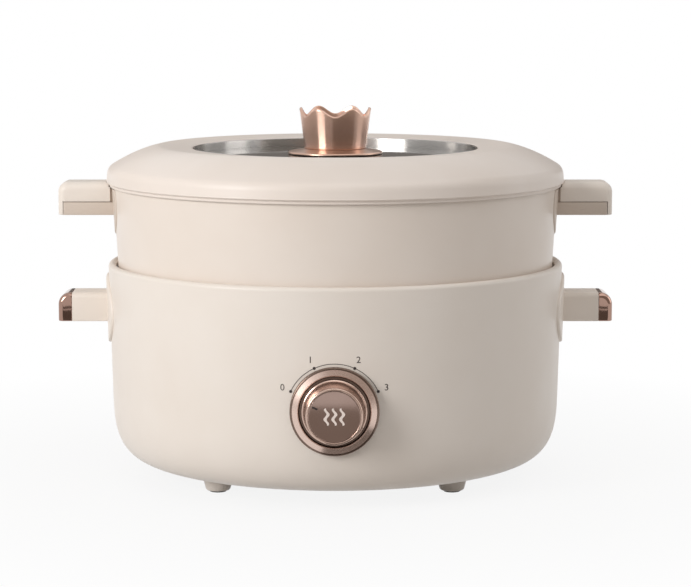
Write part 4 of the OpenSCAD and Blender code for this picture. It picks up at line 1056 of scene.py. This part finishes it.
@dataclass
class LidUnit:
    """Lid with its domed ring, its frame, its window and its steel trim."""

    cooker: Cooker
    r: float = 135.0
    split_z: float = 173.3
    skin: float = 2.0
    crest_z: float = 195.4
    crest_r: float = 97.5
    shoulder_r: float = 131.2
    window_r: float = 84.3
    dome_drop: float = 11.6
    dome_p: float = 1.735
    dome_soft: float = 0.15
    land_z: float = 193.25
    land_slope: float = 0.073
    land_soft: float = 0.12
    glass_top_z: float = 188.4
    glass_rise: float = 1.1
    glass_r: float = 95.3
    glass_t: float = 4.0
    glass_hole_r: float = 4.0
    trim_t: float = 1.2
    screw_ring: float = 106.262

    def build(self) -> None:
        """Build the lid without its knob."""
        self.ring()
        self.frame()
        self.window()

    def fall(self, share: float) -> float:
        """Fall of the dome at a share of its run."""
        return (share * share + self.dome_soft ** 2) ** (self.dome_p / 2) - self.dome_soft ** self.dome_p

    def dome_z(self, radius: float) -> float:
        """Height of the dome at a radius."""
        share = (radius - self.crest_r) / (self.shoulder_r - self.crest_r)
        dome = self.crest_z - self.dome_drop * self.fall(share) / self.fall(1.0)
        land = self.land_z + self.land_slope * (radius - self.window_r)
        return (dome + land) / 2 - math.hypot((dome - land) / 2, self.land_soft)

    def skin_line(self, inset: float) -> Points:
        """Points of the dome from its lower edge to the window, at an inset from the outer face."""
        edge_steps, steps = 14, 48
        edge = self.dome_z(self.shoulder_r)
        start = Vector((self.r - 0.3 - inset, self.split_z + 4.6))
        turn = Vector((self.r - 0.5 - inset, edge - 1.8 - inset))
        end = Vector((self.shoulder_r - inset, edge - inset))
        line = [(self.r - inset, self.split_z + 0.6)]
        for t in (i / edge_steps for i in range(edge_steps + 1)):
            line.append(tuple((1 - t) ** 2 * start + 2 * t * (1 - t) * turn + t * t * end))
        run = self.shoulder_r - self.window_r - 2 * inset
        for i in range(1, steps + 1):
            radius = self.shoulder_r - inset - run * i / steps
            line.append((radius, self.dome_z(radius) - inset))
        return line

    def ring(self) -> None:
        """Build the domed ring."""
        edge_z = self.glass_top_z + 1.1
        *outside, crest = self.skin_line(0.0)
        outline = [(self.r - self.skin, self.split_z), (self.r - 0.6, self.split_z), *outside, (*crest, 0.6),
                   (self.window_r, edge_z), (self.window_r + self.skin, edge_z),
                   *reversed(self.skin_line(self.skin))]
        self.cooker.piece("lid_dome", lathe(outline), Finishes.lid, "lid", "lid_cream", ["lid_ring"])

    def frame(self) -> None:
        """Build the frame under the dome that carries the glass and grips the pot's rim."""
        c = self.cooker
        lip_r, wall_r, inner_r = self.r - 1.7, self.r - 2.6, c.pot_rim_r + 0.5
        lip_z, top = c.pot_rim_z - 2.8, self.split_z - 0.05
        web, skirt_r, skirt_z = c.pot_rim_z + 2.2, c.pot_rim_r - 3.7, c.pot_rim_z - 6
        seat, seat_in = self.glass_top_z - self.glass_t, self.window_r + 1.7
        land_in, land_out, seat_r = self.screw_ring - 6, self.screw_ring + 8, self.glass_r + 1
        outline = [(inner_r, lip_z, 0.2), (lip_r, lip_z, 0.6), (lip_r, top, 0.1), (wall_r, top),
                   (wall_r, web + 2), (land_out, web + 5), (land_in, web + 5), (seat_r, seat),
                   (seat_in, seat), (seat_in, seat - 2, 0.5), (seat_r, seat - 2, 0.5),
                   (land_in, web + 2.95, 0.5), (land_out, web + 2.95, 0.5), (skirt_r - 1.6, web, 0.5),
                   (skirt_r - 1.6, skirt_z, 0.4), (skirt_r, skirt_z, 0.4), (skirt_r, web), (inner_r, web)]
        c.piece("lid_frame_ring", lathe(outline), Finishes.lid, "lid", "lid_cream", ["lid_frame"])

    def window(self) -> None:
        """Build the glass and the steel trim around it."""
        rings = 14
        hole = self.glass_hole_r / self.window_r
        shares = [hole + (1 - hole) * (i / rings) for i in range(rings + 1)]
        low = self.glass_top_z - self.glass_t + 0.05
        dish = [(self.window_r * s, self.glass_rise * (1 - s * s)) for s in shares]
        outline = [*((r, self.glass_top_z + rise) for r, rise in dish),
                   (self.glass_r, self.glass_top_z, 0.6), (self.glass_r, low, 0.6),
                   *((r, low + rise) for r, rise in reversed(dish))]
        self.cooker.piece("lid_pane", lathe(outline, 160), Finishes.glass, "lid", "glass", ["lid_glass"])
        outer, foot, edge = self.window_r - 0.2, self.glass_top_z + 0.05, self.window_r + 10
        inner, top = outer - self.trim_t, self.dome_z(self.window_r) + 0.1
        outline = [(inner, foot), (edge, foot), (edge, foot + 0.9), (outer, foot + 0.9), (outer, top, 0.4),
                   (inner, top, 0.5)]
        self.cooker.piece("window_trim", lathe(outline), Finishes.steel, "lid", "steel_trim", ["glass_trim"])


@dataclass
class CrownKnob:
    """Crown-shaped knob of the lid on its flange."""

    cooker: Cooker
    z: float = 192.5
    h: float = 24.3
    foot_r: float = 18.1
    tip_r: float = 21.3
    wall: float = 1.8
    floor: float = 3.0
    boss_r: float = 5.0
    boss_z: float = 6.0
    points: int = 6
    valley: float = 4.7
    wave_start: float = 0.3
    flange_r: float = 27.9
    gasket_r: float = 24.0
    screw_r: float = 2.1
    glass_z: float = 189.5

    def build(self) -> None:
        """Build the knob."""
        self.crown()
        self.flange()

    def crown(self) -> None:
        """Build the crown: a turned cup whose edge is drawn down into waves."""
        steps = 14
        lean = (self.tip_r - self.foot_r) / self.h
        line = [(lean * self.h * i / steps, self.h * i / steps) for i in range(steps)]
        inner_r = self.foot_r - self.wall
        outline = [(0, 0), (self.foot_r, 0, 0.6), *((self.foot_r + out, z) for out, z in line[1:]),
                   (self.tip_r, self.h, 1.2), (self.tip_r - self.wall, self.h, 0.5),
                   *((inner_r + out, z) for out, z in reversed(line[3:])),
                   (inner_r + lean * self.floor, self.floor, 0.8), (self.boss_r, self.floor),
                   (self.boss_r, self.boss_z, 0.5), (0, self.boss_z)]
        shape = lathe(outline)
        start = self.wave_start * self.h * MM
        for vert in shape.verts:
            if vert.co.z > start:
                turn = math.atan2(vert.co.x, -vert.co.y)
                dip = self.valley * (1 + math.cos(self.points * turn)) / 2 * MM
                drop = dip * (vert.co.z - start) / (self.h * MM - start)
                inward = 1 - lean * drop / vert.co.xy.length
                vert.co = (vert.co.x * inward, vert.co.y * inward, vert.co.z - drop)
        outward(shape)
        shift(shape, z=self.z)
        self.cooker.piece("crown_cup", shape, Finishes.crown, "lid", "rose_gold", ["crown_knob"], sharp=60.0)

    def flange(self) -> None:
        """Build the flange under the crown."""
        low, seat = self.glass_z + 0.1, self.glass_z + 0.6
        outline = [(self.screw_r, seat), (self.gasket_r, seat), (self.gasket_r, low),
                   (self.flange_r, low, 0.5), (self.flange_r, self.z - 1.6, 0.7),
                   (self.foot_r + 2, self.z - 0.5, 1.2), (self.foot_r + 0.5, self.z, 0.3),
                   (self.screw_r, self.z)]
        self.cooker.piece("crown_flange_plate", lathe(outline, 160), Finishes.flange, "lid", "rose_gold",
                          ["crown_flange"], flat=True)


@dataclass
class InnerWorks:
    """Sensor's spring, and the finishes of the solids that keep their own shape."""

    cooker: Cooker
    coil_r: float = 11.5
    wire_r: float = 0.7
    turns: int = 7
    steps: int = 28
    press: float = 3.0

    def build(self) -> None:
        """Build the spring and dress what keeps its shape."""
        self.spring()
        self.dress()

    def spring(self) -> None:
        """Wind the spring that the sensor presses together."""
        low, high = (corner[2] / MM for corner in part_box("sensor_spring"))
        rise = (high - low - 2 * self.wire_r) / (self.turns * self.steps)
        shape = bmesh.new()
        place = Vector((self.coil_r, 0, low + self.wire_r)) * MM
        bmesh.ops.create_circle(shape, segments=12, radius=self.wire_r * MM,
                                matrix=Matrix.Translation(place) @ Matrix.Rotation(math.pi / 2, 4, "X"))
        bmesh.ops.spin(shape, geom=shape.verts[:] + shape.edges[:], cent=(0, 0, 0), axis=(0, 0, 1),
                       dvec=(0, 0, rise * MM), angle=math.tau * self.turns, steps=self.turns * self.steps,
                       use_merge=False)
        bmesh.ops.holes_fill(shape, edges=shape.edges)
        tidy(shape)
        coil = self.cooker.piece("sensor_coil", shape, Finishes.screw, "base", "screw_steel",
                                 ["sensor_spring"])
        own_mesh(coil)

    def dress(self) -> None:
        """Give each kept node its finish."""
        plan = {
            Finishes.sheet: ("base_liner", "sensor_cap"),
            Finishes.cover: ("bottom_cover",),
            Finishes.screw: ("cover_screws", "base_handle_screws", "plate_screws", "housing_screws",
                             "fuse_clip", "pot_handle_screws", "lid_screws", "knob_screw"),
            Finishes.cast: ("heating_plate",),
            Finishes.tube: ("heating_element",),
            Finishes.ceramic: ("plate_posts", "thermal_fuse"),
            Finishes.black: ("sensor_housing", "switch_body", "sensor_thermostat"),
            Finishes.brass: ("switch_nut", "switch_terminals", "inlet_pins", "switch_shaft"),
            Finishes.sleeve: ("wiring",),
            Finishes.steel: ("pot_brackets", "knob_washer"),
            Finishes.silicone: ("lid_seal", "knob_gasket"),
        }
        for finish, names in plan.items():
            for name in names:
                kept = frame["nodes"][name]
                kept.data.materials.clear()
                kept.data.materials.append(finish.material())
                LOG.info("%s keeps its shape, in %s", name, finish.name)


@dataclass
class Studio:
    """Pale floor, soft lamps and the camera at the photograph's viewing angle."""

    cooker: Cooker
    eye: Place = (6.03, -1500.0, 298.9)
    tilt: float = 0.128
    focal_px: float = 2537.5
    frame_px: float = 691.0
    sensor: float = 36.0
    aim_z: float = 0.11

    def build(self) -> None:
        """Build the whole studio."""
        bpy.context.scene.view_settings.view_transform = "Standard"
        self.camera()
        self.floor()
        self.world()
        self.lamp("key_window", (-1.36, -1.14, 0.75), (0.78, 0.9), 21.5)
        self.lamp("back_window", (-0.6, 1.5, 0.9), (0.9, 0.9), 6.0, mirrored=False)
        self.lamp("side_window", (1.5, 0.15, 0.6), (0.7, 0.9), 3.0)
        self.lamp("top_window", (0.45, -0.55, 1.5), (2.0, 1.6), 5.8)
        self.flags()

    def camera(self) -> None:
        """Place the camera."""
        lens = bpy.data.cameras.new("photo_camera")
        lens.sensor_fit = "HORIZONTAL"
        lens.sensor_width = self.sensor
        lens.lens = self.focal_px / self.frame_px * self.sensor
        lens.clip_end = 50.0
        eye = placed("photo_camera", lens)
        eye.location = (Vector(self.eye) + Vector((0, self.cooker.axis_y, 0))) * MM
        eye.rotation_euler = (math.pi / 2 - self.tilt, 0.0, 0.0)
        bpy.context.scene.camera = eye

    def lamp(self, name: str, place: Place, size: tuple[float, float], watts: float,
             mirrored: bool = True) -> None:
        """Place a soft lamp that faces the cooker.

        Args:
            name: name of the lamp.
            place: its place in metres.
            size: width and height of its window in metres.
            watts: its power.
            mirrored: whether glossy pieces mirror it.
        """
        light = bpy.data.lights.new(name, "AREA")
        light.shape = "RECTANGLE"
        light.size, light.size_y = size
        light.energy = watts
        carrier = placed(name, light)
        carrier.location = place
        carrier.visible_glossy = mirrored
        aim = Vector((0, 0, self.aim_z)) - Vector(place)
        carrier.rotation_euler = aim.to_track_quat("-Z", "Y").to_euler()

    def prop(self, name: str, shape: BMesh, surface: Material, only_mirrored: bool = False) -> None:
        """Put a thing of the studio, which may show only in glossy pieces, in the scene."""
        mesh = meshed(shape, name)
        mesh.materials.append(surface)
        made = placed(name, mesh)
        if only_mirrored:
            made.visible_camera = made.visible_diffuse = made.visible_shadow = False

    def flag(self, name: str, corners: Sequence[Place], level: float) -> None:
        """Hang a glowing panel of a brightness from 0 to 1, with corners in metres, which only glossy pieces
        see, so that they show a painted reflection; it lights and shades nothing.
        """
        shape = bmesh.new()
        shape.faces.new([shape.verts.new(c) for c in corners])
        made, board = surfaced(name)
        board.add("OutputMaterial", board.add("Emission", Color=(1.0, 0.9, 0.82, 1.0), Strength=level))
        self.prop(name, shape, made, only_mirrored=True)

    def floor(self) -> None:
        """Lay the pale floor, which keeps the cooker's shadow."""
        shape = bmesh.new()
        bmesh.ops.create_grid(shape, x_segments=2, y_segments=2, size=6.0)
        made, board = surfaced("studio_floor")
        plain = board.add("BsdfDiffuse", Color=(0.62, 0.61, 0.6, 1.0))
        glow = board.add("Emission", Color=WHITE, Strength=1.0)
        away = board.add("VectorMath", board.add("TexCoord").outputs["Object"])
        away.operation = "LENGTH"
        shade = board.add("MapRange", Value=away.outputs["Value"], From_Min=0.1, From_Max=0.42, To_Min=0.12,
                          To_Max=0.0)
        seen = board.add("MixShader", shade, glow, plain)
        board.add("OutputMaterial", board.add("MixShader", board.looked_at(), plain, seen))
        self.prop("studio_floor", shape, made)

    def world(self) -> None:
        """Set the white backdrop and the soft light that fills the room."""
        room = bpy.data.worlds.new("studio_room")
        bpy.context.scene.world = room
        room.use_nodes = True
        board = NodeBoard(room.node_tree)
        fill = board.add("Background", Color=(1.0, 0.97, 0.94, 1.0), Strength=0.34)
        white = board.add("Background", Color=WHITE, Strength=1.0)
        board.add("OutputWorld", board.add("MixShader", board.looked_at(), fill, white))

    def flags(self) -> None:
        """Hang the glowing panels that only metal and glass mirror, as painted reflections: at the right,
        behind, and on the floor in front.
        """
        for name, start, stop, low, high, level in (
                ("front_reflection_panel", (-0.3, -1.8), (1.3, -0.5), 0.0, 1.3, 0.4),
                ("back_reflection_panel", (-0.9, 1.25), (0.9, 1.25), 0.22, 0.62, 0.2)):
            self.flag(name, ((*start, low), (*stop, low), (*stop, high), (*start, high)), level)
        z = 0.001
        for name, near, far, left, right, level in (
                ("bezel_reflection_panel", -0.155, -0.29, -0.015, 0.08, 0.16),
                ("dial_reflection_panel", -0.3, -0.51, -0.05, 0.05, 0.4),
                ("low_reflection_panel", -0.6, -0.7045, -0.4, 0.4, 0.18),
                ("cap_reflection_panel", -0.7165, -0.7405, -0.4, 0.4, 0.18)):
            y0, y1 = near + self.cooker.axis_y * MM, far + self.cooker.axis_y * MM
            self.flag(name, ((left, y0, z), (right, y0, z), (right, y1, z), (left, y1, z)), level)


def main() -> None:
    """Build every sub-assembly and the studio."""
    logging.basicConfig(level=logging.INFO, format="%(message)s")
    cooker = Cooker()
    for unit in (BaseShell, SideGrips, DialUnit, PotUnit, LidUnit, CrownKnob, InnerWorks, Studio):
        unit(cooker).build()


if __name__ == "__main__":
    main()
